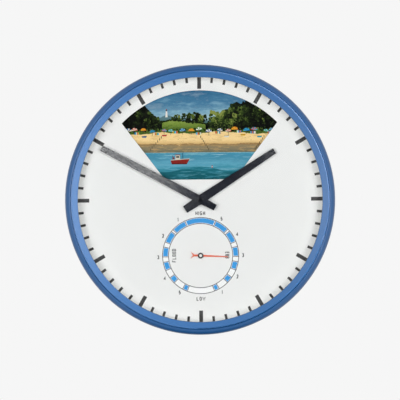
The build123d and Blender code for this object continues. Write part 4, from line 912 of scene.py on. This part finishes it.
class TIDECLOCK_OT_beach(bpy.types.Operator):
    """Paint the things on the beach: parasols, windbreaks, boats, posts, pebbles and the lighthouse"""

    bl_idname = "tide_clock.beach"
    bl_label = "Things on the beach"

    def execute(self, context):
        picture = settings("picture")
        draw = np.random.default_rng(picture.seed + 40)
        parts = [
            *self.parasols(draw, picture.shades), *self.windbreaks(draw), *self.dinghies(),
            *self.breakwaters(), *self.lighthouse()]
        details = shape_set(parts, FAR + BEACH_LAYER)
        make_piece("picture_beach", details, coloured("painted details"), "clock")
        places = np.stack([
            -100 + 200 * draw.random(PEBBLE_COUNT), 67 + 19 * draw.random(PEBBLE_COUNT)], axis=1)
        pebbles = domes(
            places, 0.25 + 0.5 * draw.random(PEBBLE_COUNT) ** 2, draw.random(PEBBLE_COUNT), FAR + TREE_LAYER,
            seed=picture.seed + 5, corners=7, flat=0.6, rise=0.08)
        make_piece("picture_pebbles", pebbles, pebble_paint(), "clock")
        return {"FINISHED"}

    def parasols(self, draw, count):
        x = np.linspace(-98, 98, count) + (draw.random(count) - 0.5) * 6
        for k, at in enumerate(x):
            z = 90.2 + 4.4 * draw.random()
            radius = 3.4 + 1.0 * draw.random()
            pair = CLOTHS[(3 * k + 1) % len(CLOTHS)], CLOTHS[k % len(CLOTHS)]
            yield upright(at, z - 4.4, z, 0.22), (70, 54, 40), 0.06
            for number in range(6):
                start = 30 * number
                yield fan_slice(at, z, radius, start, start + 30), pair[number % 2], 0.09

    def windbreaks(self, draw):
        wide = 1.15
        for k, at in enumerate(WINDBREAKS):
            low = 86.6 + 2.6 * draw.random()
            for stripe in range(6):
                middle = at + wide * (stripe + 0.5)
                tint = CLOTHS[(k + 3 * (stripe % 2) + stripe // 2) % len(CLOTHS)]
                yield upright(middle, low, low + 3.1, wide / 2), tint, 0.1

    def dinghies(self):
        for at, low, tint in DINGHIES:
            hull = [(-2.6, 0), (2.4, 0), (3.6, 1.9), (-3.4, 1.5)]
            rail = [(-3.4, 1.4), (3.6, 1.8), (3.5, 2.3), (-3.4, 1.9)]
            yield moved(hull, at, low), CLOTHS[tint], 0.08
            yield moved(rail, at, low), (62, 48, 36), 0.09

    def breakwaters(self):
        for start, lean in BREAKWATERS:
            for k in range(7):
                z = 66 + 2.7 * k
                yield upright(start + lean * 5 * k, z, z + 3.1, 0.32 + 0.02 * k), (76, 60, 42), 0.05

    def lighthouse(self):
        x, foot = LIGHTHOUSE
        lamp, roof, tip = foot + 8, foot + 9.6, foot + 11.2
        yield upright(x, foot, lamp, 1.5, 1.0), (232, 230, 222), 0.06
        yield upright(x, lamp, roof, 0.9), (44, 60, 74), 0.06
        yield [(x - 1.2, roof), (x + 1.2, roof), (x, tip)], (150, 52, 44), 0.06


def streaks(draw, count, low, high, half_width, level, ink=0.03, long=(8, 30)):
    """Lens shaped strokes that lie flat: two arcs between the same ends."""
    middle = np.stack([(draw.random(count) * 2 - 1) * half_width, low + (high - low) * draw.random(count)], 1)
    reach = long[0] + (long[1] - long[0]) * draw.random(count) ** 2
    reach = np.minimum(reach, 2 * (half_width + 3 - np.abs(middle[:, 0])))
    thick = 0.25 + 0.5 * draw.random(count)
    along = np.linspace(-0.5, 0.5, 9)
    lens = thick[:, None] * (0.25 - along**2) * 2
    line = middle[:, 1:] + waves(along, 5, [(1.3, 0.3)])
    x = middle[:, :1] + reach[:, None] * along
    lower = np.stack([x, line - lens], axis=2)
    upper = np.stack([x, line + lens], axis=2)[:, ::-1]
    outlines = np.concatenate([lower, upper[:, 1:-1]], axis=1)
    steps = level + ink * (0.6 + 0.4 * np.arange(count) / count)
    points, faces = prisms(outlines, level, steps)
    return points, faces, np.repeat(draw.random(count), outlines.shape[1] * 2)


class TIDECLOCK_OT_sea(bpy.types.Operator):
    """Paint the sea on the moving plate, with its foam, its buoy and its boat"""

    bl_idname = "tide_clock.sea"
    bl_label = "Sea, foam and boat"

    def execute(self, context):
        dress(sea_paint(), "sea_plate")
        self.foam(np.random.default_rng(settings("picture").seed + 60))
        boats = shape_set([*self.boat(), *self.buoy()], SEA)
        make_piece("picture_boat", boats, coloured("painted boat"), "sea")
        return {"FINISHED"}

    def foam(self, draw):
        """Foam streaks and the line of surf at the water's edge."""
        points, faces, tones = streaks(draw, 70, 20, WATER_LINE - 1.5, 72, SEA)
        x = np.linspace(-88, 88, 240)
        low = WATER_LINE - 0.25 - 0.3 * np.abs(waves(x, 8, [(21, 1.0), (7, 0.6)]))
        surf = band(x, low, np.full(len(x), WATER_LINE), SEA, SEA + 0.035)
        tones = np.concatenate([tones, np.full(len(surf[0]), 0.75)])
        foam = (*joined((points, faces), surf), tones)
        make_piece("picture_foam", foam, foam_paint(), "sea")

    def boat(self):
        hull, shade, cream, dark = (142, 40, 34), (92, 26, 26), (226, 218, 200), (36, 38, 44)
        for outline, tint, ink in (
            ([(-8.4, 0), (7.6, 0), (10.8, 5.6), (-9.6, 4.2)], hull, 0.08),
            ([(-8.4, 0), (7.6, 0), (8.2, 1.1), (-8.6, 1.1)], shade, 0.09),
            ([(-9.6, 4.2), (10.8, 5.6), (10.6, 6.2), (-9.6, 4.8)], cream, 0.09),
            ([(-4.6, 4.6), (0.6, 4.9), (0.3, 9.6), (-4.2, 9.6)], cream, 0.07),
            ([(-3.7, 7.0), (-0.3, 7.0), (-0.4, 8.7), (-3.6, 8.7)], dark, 0.09),
            ([(-4.9, 9.6), (1.0, 9.6), (0.8, 10.4), (-4.7, 10.4)], hull, 0.09),
            (upright(3.5, 5.0, 12.4, 0.3, 0.2), dark, 0.07),
            ([(-7.6, 4.6), (-7.1, 4.6), (-7.2, 9.4), (-7.5, 9.4)], dark, 0.07),
            ([(-7.2, 5.6), (-5.0, 5.6), (-7.2, 9.2)], hull, 0.08),
        ):
            yield moved(outline, *BOAT_PLACE, BOAT_SCALE), tint, ink

    def buoy(self):
        yield upright(BUOY, 41.5, 46.0, 1.0, 0.5), (142, 40, 34), 0.08
        yield upright(BUOY, 43.4, 44.5, 1.0, 0.5), (226, 218, 200), 0.09


class TIDECLOCK_OT_near_picture(bpy.types.Operator):
    """Paint the near water on the fixed strip in front of the sea"""

    bl_idname = "tide_clock.near_picture"
    bl_label = "Near water"

    def execute(self, context):
        dress(near_water_paint(), "foreground_strip")
        draw = np.random.default_rng(settings("picture").seed + 80)
        foam = streaks(draw, 22, 29, 38, 40, NEAR, ink=0.02, long=(6, 22))
        make_piece("picture_near_foam", foam, near_foam_paint(), "clock")
        return {"FINISHED"}


# Marks moulded on the backs of the movements, in millimetres and degrees

RELIEF = 0.3
ARROW_RADIUS, ARROW_WIDTH, ARROW_HEAD_WIDTH = 8.7, 1.0, 3.2
ARROW_START, ARROW_END, ARROW_HEAD_TURN = 40, 150, 16
SIGN_SIDE, SIGN_DROP, SIGN_HALF, SIGN_LINE = 20, 9.6, 1.8, 0.8


class TIDECLOCK_OT_back_marks(bpy.types.Operator):
    """Mould the setting arrows and the battery marks on the backs of the movements"""

    bl_idname = "tide_clock.back_marks"
    bl_label = "Marks on the movements"

    def execute(self, context):
        black = surface("moulded marks", rgb(30, 30, 32), 0.5, scale=1800, shade=0.85)
        for kind in ("time", "tide"):
            level = back_of(f"{kind}_movement_case")
            raised = level - RELIEF
            arrow = self.arrow(middle_of(f"{kind}_setting_knob"), raised, level)
            x, z = middle_of(f"{kind}_arbor")
            plus, minus, z = x + SIGN_SIDE, x - SIGN_SIDE, z - SIGN_DROP
            lying, standing = [(-SIGN_HALF, 0), (SIGN_HALF, 0)], [(0, -SIGN_HALF), (0, SIGN_HALF)]
            paths = [moved(lying, plus, z), moved(standing, plus, z), moved(lying, minus, z)]
            signs = strokes(paths, SIGN_LINE, raised, level)
            make_piece(f"{kind}_back_marks", joined(*arrow, signs), black, "clock")
        return {"FINISHED"}

    def arrow(self, knob, back, front):
        """Bent shaft and head of the arrow round a setting knob."""
        half, head_half = ARROW_WIDTH / 2, ARROW_HEAD_WIDTH / 2
        shaft = arcs([ARROW_START], [ARROW_END], ARROW_RADIUS - half, ARROW_RADIUS + half, back, front, knob)
        tip = on_circle(knob, ARROW_RADIUS, ARROW_END + ARROW_HEAD_TURN)
        feet = on_circle(knob, np.array([ARROW_RADIUS - head_half, ARROW_RADIUS + head_half]), ARROW_END)
        return shaft, prisms([[tip, *feet]], back, front)


# Finishes of the parts: each row is a finish with the nodes that get it


def case_finishes(case):
    gloss = {
        "scale": 700, "relief": 0.000002, "spread": 0.02, "wear": 0.03, "Coat_Weight": 0.15,
        "Coat_Roughness": 0.25}
    shell = surface("case paint", case.case_colour, 0.36, shade=0.97, worn=rgb(90, 128, 176), **gloss)
    yield shell, "case_shell"
    ring = surface("bezel paint", case.bezel_colour, 0.38, shade=0.98, worn=rgb(100, 138, 180), **gloss)
    yield ring, "bezel"
    back = surface(
        "back paint", rgb(206, 207, 208), 0.5, scale=1000, shade=0.93, relief=0.000014, wear=0.25,
        worn=rgb(160, 162, 164))
    yield back, "back_cover"
    yield surface("foam", rgb(44, 44, 46), 0.9, shade=0.55, relief=0.00012), "wall_ring"
    plating = metal(
        "screw plating", rgb(150, 150, 150), 0.34, scale=1600, shade=0.8, wear=0.3, worn=rgb(214, 214, 212))
    yield plating, "bezel_screws", "cover_screws"


def dial_finishes(case):
    yield surface("dial paint", case.dial_colour, 0.62, scale=1600, shade=0.985), "dial_plate"
    yield surface("spacer plastic", rgb(226, 226, 223), 0.5, scale=1200, shade=0.96), "spacer_ring"
    yield surface(
        "gasket rubber", rgb(112, 116, 120), 0.7, scale=1800, shade=0.85, relief=0.00002), "glass_gasket"
    yield glass_finish(), "glass"


def hand_finishes(case):
    hand = surface(
        "hand paint", case.hand_colour, 0.15, scale=2500, shade=0.94, relief=0.0000002, spread=0.006)
    yield hand, "hour_hand", "minute_hand", "hand_cap"
    yield surface("pointer paint", case.pointer_colour, 0.4), "tide_hand"
    yield surface("boss paint", rgb(42, 41, 44), 0.4, scale=1800, shade=0.85), "tide_hand_boss"
    yield surface("white plastic", rgb(240, 240, 237), 0.4, shade=0.96), "tide_arbor"


def frame_finishes():
    zinc = metal(
        "zinc plate", rgb(176, 179, 182), 0.42, scale=500, stretch=(5, 1, 0.6), shade=0.84, relief=0.000008,
        spread=0.1, wear=0.3, worn=rgb(214, 216, 218))
    yield (zinc, "hanger_plate", "hanger_rivets", "carrier_plate", "carrier_posts", "ring_posts",
           "picture_posts", "guide_rails")
    steel = metal(
        "turned steel", rgb(188, 188, 186), 0.28, scale=1400, stretch=(1, 6, 1), shade=0.85, wear=0.1)
    yield steel, "time_arbor", "crank_stud", "planet_screw", "post_screws"


def wheel_finishes():
    nylon = surface("gear plastic", rgb(232, 229, 216), 0.45, shade=0.92)
    yield nylon, "hour_wheel", *both("arbor_wheel"), *both("step_wheel"), *both("setting_wheel")
    drive = surface("drive plastic", rgb(70, 112, 128), 0.45, scale=1300, shade=0.88)
    yield drive, "tide_drive_wheel", "crank_wheel", "planet_gear", "ring_gear"


def movement_finishes():
    black = surface(
        "moulded black", rgb(34, 34, 37), 0.5, scale=1700, shade=0.82, relief=0.00002, wear=0.2,
        worn=rgb(84, 84, 86))
    yield black, *both("movement_case"), *both("movement_lid"), *both("setting_knob")
    yield metal("brass", rgb(202, 164, 92), 0.3, shade=0.82), "movement_nuts"
    yield surface("magnet", rgb(72, 72, 76), 0.5, scale=1600, shade=0.7, Metallic=0.6), *both("rotor")
    iron = metal("stator iron", rgb(140, 140, 142), 0.4, scale=700, stretch=(4, 1, 1), shade=0.8)
    yield iron, *both("stator")
    nickel = metal("contact nickel", rgb(198, 194, 182), 0.26, scale=1300, shade=0.85, wear=0.3)
    yield nickel, "battery_contacts"
    yield coil_finish(), *both("coil")
    yield board_finish(), *both("circuit_board")
    for name in both("battery"):
        yield battery_finish(name), name


def coil_finish():
    """Enamelled wire: close turns round the bobbin, as lines across x, with painted shade between the turns
    and painted highlight on their crests.
    """
    material, tree, shader = blank_finish("wound wire", Roughness=0.3)
    values = {"Vector": object_place(tree), "Scale": 900.0, "Distortion": 0.3}
    turns = node(tree, "TexWave", values, bands_direction="X")
    # Painted shade and highlight: dark copper where the wave is low between the turns, light copper on the
    # turns' crests
    tint = mixed_colour(tree, turns.outputs["Fac"], rgb(96, 40, 18), rgb(206, 116, 62))
    feed(tree, shader, tint, turns.outputs["Fac"], 0.00008)
    return material


def board_finish():
    """Solder mask over copper tracks, drawn as the joints between rows of bricks."""
    material, tree, shader = blank_finish("circuit board", Roughness=0.3)
    flat = node(tree, "Mapping", {"Vector": object_place(tree), "Rotation": (pi / 2, 0, 0)}).outputs[0]
    tracks = node(tree, "TexBrick", {"Vector": flat, "Scale": 260.0, "Mortar Size": 0.06})
    tint = mixed_colour(tree, tracks.outputs["Fac"], rgb(22, 92, 52), rgb(52, 138, 82))
    feed(tree, shader, tint, tracks.outputs["Fac"], 0.00004)
    return material


# Sleeve of a battery along its length: start, end, colour and share of bare metal
SLEEVE_BANDS = (
    (0.0, 0.03, (190, 190, 188), 1.0),
    (0.035, 0.72, (52, 110, 82), 0.0),
    (0.725, 0.945, (196, 160, 84), 0.6),
    (0.95, 1.0, (190, 190, 188), 1.0),
)


def battery_finish(name):
    """Battery sleeve: bare metal at both ends, a gold band at the positive end, the rest green."""
    low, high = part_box(name)
    material, tree, shader = blank_finish(name + " sleeve", Roughness=0.32)
    across = node(tree, "SeparateXYZ", {0: object_place(tree)}).outputs["X"]
    share = ranged(tree, across, low.x, high.x)
    tints, bare = [], []
    for start, end, colour, metallic in SLEEVE_BANDS:
        for place in (start, end):
            tints.append((place, rgb(*colour)))
            bare.append((place, (metallic,) * 3))
    tree.links.new(ramp(tree, share, bare), shader.inputs["Metallic"])
    grain = use_effect(tree, "grain", Scale=1400)
    feed(tree, shader, ramp(tree, share, tints), grain.outputs["Height"], 0.000006)
    return material


def glass_finish():
    """Clear mineral glass; light that passes through it on the way to or from a part goes straight on."""
    material, tree, shader = blank_finish(
        "clear glass", Base_Color=(1, 1, 1, 1), Roughness=0.0, IOR=1.5, Transmission_Weight=1.0)
    clear = node(tree, "BsdfTransparent", {"Color": (0.985, 0.99, 0.988, 1)})
    path = node(tree, "LightPath").outputs
    passing = maths(tree, "MAXIMUM", path["Is Shadow Ray"], path["Is Diffuse Ray"])
    passing = maths(tree, "MAXIMUM", passing, path["Is Glossy Ray"])
    mix = node(tree, "MixShader", {0: passing, 1: shader.outputs[0], 2: clear.outputs[0]})
    tree.links.new(mix.outputs[0], tree.nodes["Material Output"].inputs["Surface"])
    return material


class TIDECLOCK_OT_finishes(bpy.types.Operator):
    """Give every part of the clock its paint, metal, plastic or glass"""

    bl_idname = "tide_clock.finishes"
    bl_label = "Finishes of the parts"

    def execute(self, context):
        case = settings("case")
        for finish, *names in (
            *case_finishes(case), *dial_finishes(case), *hand_finishes(case), *frame_finishes(),
            *wheel_finishes(), *movement_finishes(),
        ):
            dress(finish, *names)
        return {"FINISHED"}


# Stage, in metres; only the width of the camera sensor is in millimetres

HANDS = ("hour_hand", "minute_hand")
MIDDLE = (0, 0, 0)
# Lamps: name, place, aim, size, setting of the power, share of it, and the parts that a lamp is kept for
LAMPS = (
    ("left light", (-1.1, -2.5, 0), MIDDLE, (1.2, 1.8), "main_light", 1.06, ()),
    ("right light", (1.1, -2.5, 0), MIDDLE, (1.2, 1.8), "main_light", 1, ()),
    ("left rim light", (-1.27, -0.32, 0), MIDDLE, (0.6, 1.1), "rim_light", 0.55, ("bezel",)),
    ("right rim light", (1.27, -0.32, 0), MIDDLE, (0.6, 1.9), "rim_light", 1.35, ("bezel",)),
    ("left sheen", (-0.385, -0.65, 0.36), (-0.385, 0, 0.36), (0.7, 0.8), "sheen", 1, HANDS),
    ("right sheen", (0.46, -0.65, 0.1), (0.46, 0, 0.1), (0.7, 0.9), "sheen", 0.72, HANDS),
)
FLOOR_HALF, FLOOR_LEVEL, FLOOR_SQUARES = 2.2, -1.0, 8
# Camera: shift to the right and up, level in front of the wall that its distance is taken from, and its roll
# in degrees
CAMERA_SHIFT, CAMERA_PLANE, CAMERA_ROLL = (-0.0002, -0.0004), 0.05, 0.5
SENSOR_WIDTH, CAMERA_REACH = 36, 50
WHITE = (1, 1, 1, 1)


def softbox(name, place, aim, size, power, only):
    """Large soft light that looks at a point; it can be kept for some CAD nodes only."""
    lamp = bpy.data.lights.new(name, "AREA")
    lamp.shape, lamp.size, lamp.size_y, lamp.energy = "RECTANGLE", *size, power
    holder = bpy.data.objects.new(name, lamp)
    bpy.context.scene.collection.objects.link(holder)
    way = Vector(aim) - Vector(place)
    holder.matrix_world = Matrix.Translation(place) @ way.to_track_quat("-Z", "Y").to_matrix().to_4x4()
    holder.visible_camera = False
    if only:
        lit = bpy.data.collections.new(name + " parts")
        for part in only:
            lit.objects.link(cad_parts[part])
        holder.light_linking.receiver_collection = lit


def room_strength(tree, y, z, stage):
    """Even light that falls on matt surfaces: it differs before and behind the clock and falls off below."""
    depth = ranged(tree, y, 0.0, 0.5, stage.room_light, stage.back_light, "SMOOTHSTEP")
    return maths(tree, "MULTIPLY", depth, ranged(tree, z, -0.9, 0.1, 0.1, curve="SMOOTHSTEP"))


def wall_strength(tree, x, y, z, stage):
    """Pale walls that glossy surfaces mirror, brighter to the sides, with a dark gap behind the camera."""
    right = ranged(tree, x, 0.0, 0.85, 0.0, stage.right_wall)
    left = ranged(tree, x, 0.0, -0.85, 0.0, stage.left_wall)
    bright = maths(tree, "ADD", maths(tree, "ADD", left, right), stage.walls)
    gap = ranged(tree, y, -0.94, -0.75, curve="SMOOTHSTEP")
    below = ranged(tree, z, -0.96, -0.8, curve="SMOOTHSTEP")
    return maths(tree, "MULTIPLY", maths(tree, "MULTIPLY", bright, gap), below)


def studio(stage):
    """Room of the photograph: even light for matt surfaces, walls for glossy ones, and a plain backdrop."""
    world = bpy.data.worlds.new("studio")
    world.use_nodes = True
    tree = world.node_tree
    axes = node(tree, "SeparateXYZ", {0: node(tree, "TexCoord").outputs["Generated"]})
    x, y, z = (axes.outputs[axis] for axis in "XYZ")
    room = tree.nodes["Background"]
    room.inputs["Color"].default_value = WHITE
    tree.links.new(room_strength(tree, y, z, stage), room.inputs["Strength"])
    walls = node(tree, "Background", {"Color": WHITE, "Strength": wall_strength(tree, x, y, z, stage)})
    backdrop = node(tree, "Background", {"Color": (*rgb(246, 246, 246), 1), "Strength": 1.0})
    path = node(tree, "LightPath").outputs
    seen = maths(tree, "MAXIMUM", path["Is Camera Ray"], path["Is Transmission Ray"])
    lit = node(tree, "MixShader", {0: path["Is Glossy Ray"], 1: room.outputs[0], 2: walls.outputs[0]})
    mix = node(tree, "MixShader", {0: seen, 1: lit.outputs[0], 2: backdrop.outputs[0]})
    tree.links.new(mix.outputs[0], tree.nodes["World Output"].inputs["Surface"])
    return world


class TIDECLOCK_OT_stage(bpy.types.Operator):
    """Set up the floor, the lights, the backdrop and the camera"""

    bl_idname = "tide_clock.stage"
    bl_label = "Floor, lights and camera"

    def execute(self, context):
        stage, scene = settings("stage"), context.scene
        scene.view_settings.view_transform = "Standard"
        scene.world = studio(stage)
        # With the light tree the smooth hands come out speckled
        scene.cycles.use_light_tree = False
        for name, place, aim, size, setting, share, only in LAMPS:
            softbox(name, place, aim, size, getattr(stage, setting) * share, only)
        self.floor()
        self.camera(scene, stage)
        return {"FINISHED"}

    def floor(self):
        """Pale flat floor well below the clock, as a sheet of squares."""
        lines = FLOOR_SQUARES + 1
        side = np.linspace(-FLOOR_HALF, FLOOR_HALF, lines)
        x, y = np.meshgrid(side, side)
        points = np.stack([x, y, np.full(x.shape, FLOOR_LEVEL)], axis=2).reshape(-1, 3)
        row = np.arange(FLOOR_SQUARES)
        corner = (row[:, None] * lines + row).ravel()
        quads = np.stack([corner, corner + 1, corner + lines + 1, corner + lines], axis=1)
        mesh = bpy.data.meshes.new("floor")
        mesh.from_pydata(points.tolist(), [], quads.tolist())
        pale = rgb(235, 235, 236)
        mesh.materials.append(surface(
            "floor", pale, 0.6, scale=300, shade=0.99, Emission_Color=(*pale, 1), Emission_Strength=0.5))
        floor = bpy.data.objects.new("floor", mesh)
        bpy.context.scene.collection.objects.link(floor)
        floor.visible_diffuse = floor.visible_glossy = False

    def camera(self, scene, stage):
        """Camera straight in front, with the photograph's small turn and offset."""
        lens = bpy.data.cameras.new("camera")
        lens.sensor_width = SENSOR_WIDTH
        lens.lens = SENSOR_WIDTH * stage.camera_distance / stage.view_width
        lens.clip_end = CAMERA_REACH
        camera = bpy.data.objects.new("camera", lens)
        scene.collection.objects.link(camera)
        camera.location = (CAMERA_SHIFT[0], -stage.camera_distance - CAMERA_PLANE, CAMERA_SHIFT[1])
        camera.rotation_euler = (pi / 2, radians(CAMERA_ROLL), 0)
        scene.camera = camera


class TIDECLOCK_PT_panel(bpy.types.Panel):
    """Settings and steps of the tide clock"""

    bl_label = "Tide clock"
    bl_idname = "TIDECLOCK_PT_panel"
    bl_space_type = "VIEW_3D"
    bl_region_type = "UI"
    bl_category = "Tide clock"

    def draw(self, context):
        for kind, group in GROUPS.items():
            box = self.layout.box()
            box.label(text=kind.capitalize())
            for name in group.__annotations__:
                box.prop(settings(kind), name)
        for operator in OPERATORS:
            self.layout.operator(operator.bl_idname)


GROUPS = {
    "dial": DialSettings,
    "case": CaseSettings,
    "picture": PictureSettings,
    "stage": StageSettings,
}
OPERATORS = (
    TIDECLOCK_OT_marks,
    TIDECLOCK_OT_tide_ring,
    TIDECLOCK_OT_figures,
    TIDECLOCK_OT_far_picture,
    TIDECLOCK_OT_trees,
    TIDECLOCK_OT_beach,
    TIDECLOCK_OT_sea,
    TIDECLOCK_OT_near_picture,
    TIDECLOCK_OT_back_marks,
    TIDECLOCK_OT_finishes,
    TIDECLOCK_OT_stage,
)


def register():
    for kind, group in GROUPS.items():
        bpy.utils.register_class(group)
        setattr(bpy.types.Scene, "tide_clock_" + kind, PointerProperty(type=group))
    for made in (*OPERATORS, TIDECLOCK_PT_panel):
        bpy.utils.register_class(made)


def unregister():
    for made in (TIDECLOCK_PT_panel, *reversed(OPERATORS)):
        bpy.utils.unregister_class(made)
    for kind, group in reversed(GROUPS.items()):
        delattr(bpy.types.Scene, "tide_clock_" + kind)
        bpy.utils.unregister_class(group)


def main():
    register()
    bpy.ops.tide_clock.marks()
    bpy.ops.tide_clock.tide_ring()
    bpy.ops.tide_clock.figures()
    bpy.ops.tide_clock.far_picture()
    bpy.ops.tide_clock.trees()
    bpy.ops.tide_clock.beach()
    bpy.ops.tide_clock.sea()
    bpy.ops.tide_clock.near_picture()
    bpy.ops.tide_clock.back_marks()
    bpy.ops.tide_clock.finishes()
    bpy.ops.tide_clock.stage()


if __name__ == "__main__":
    main()
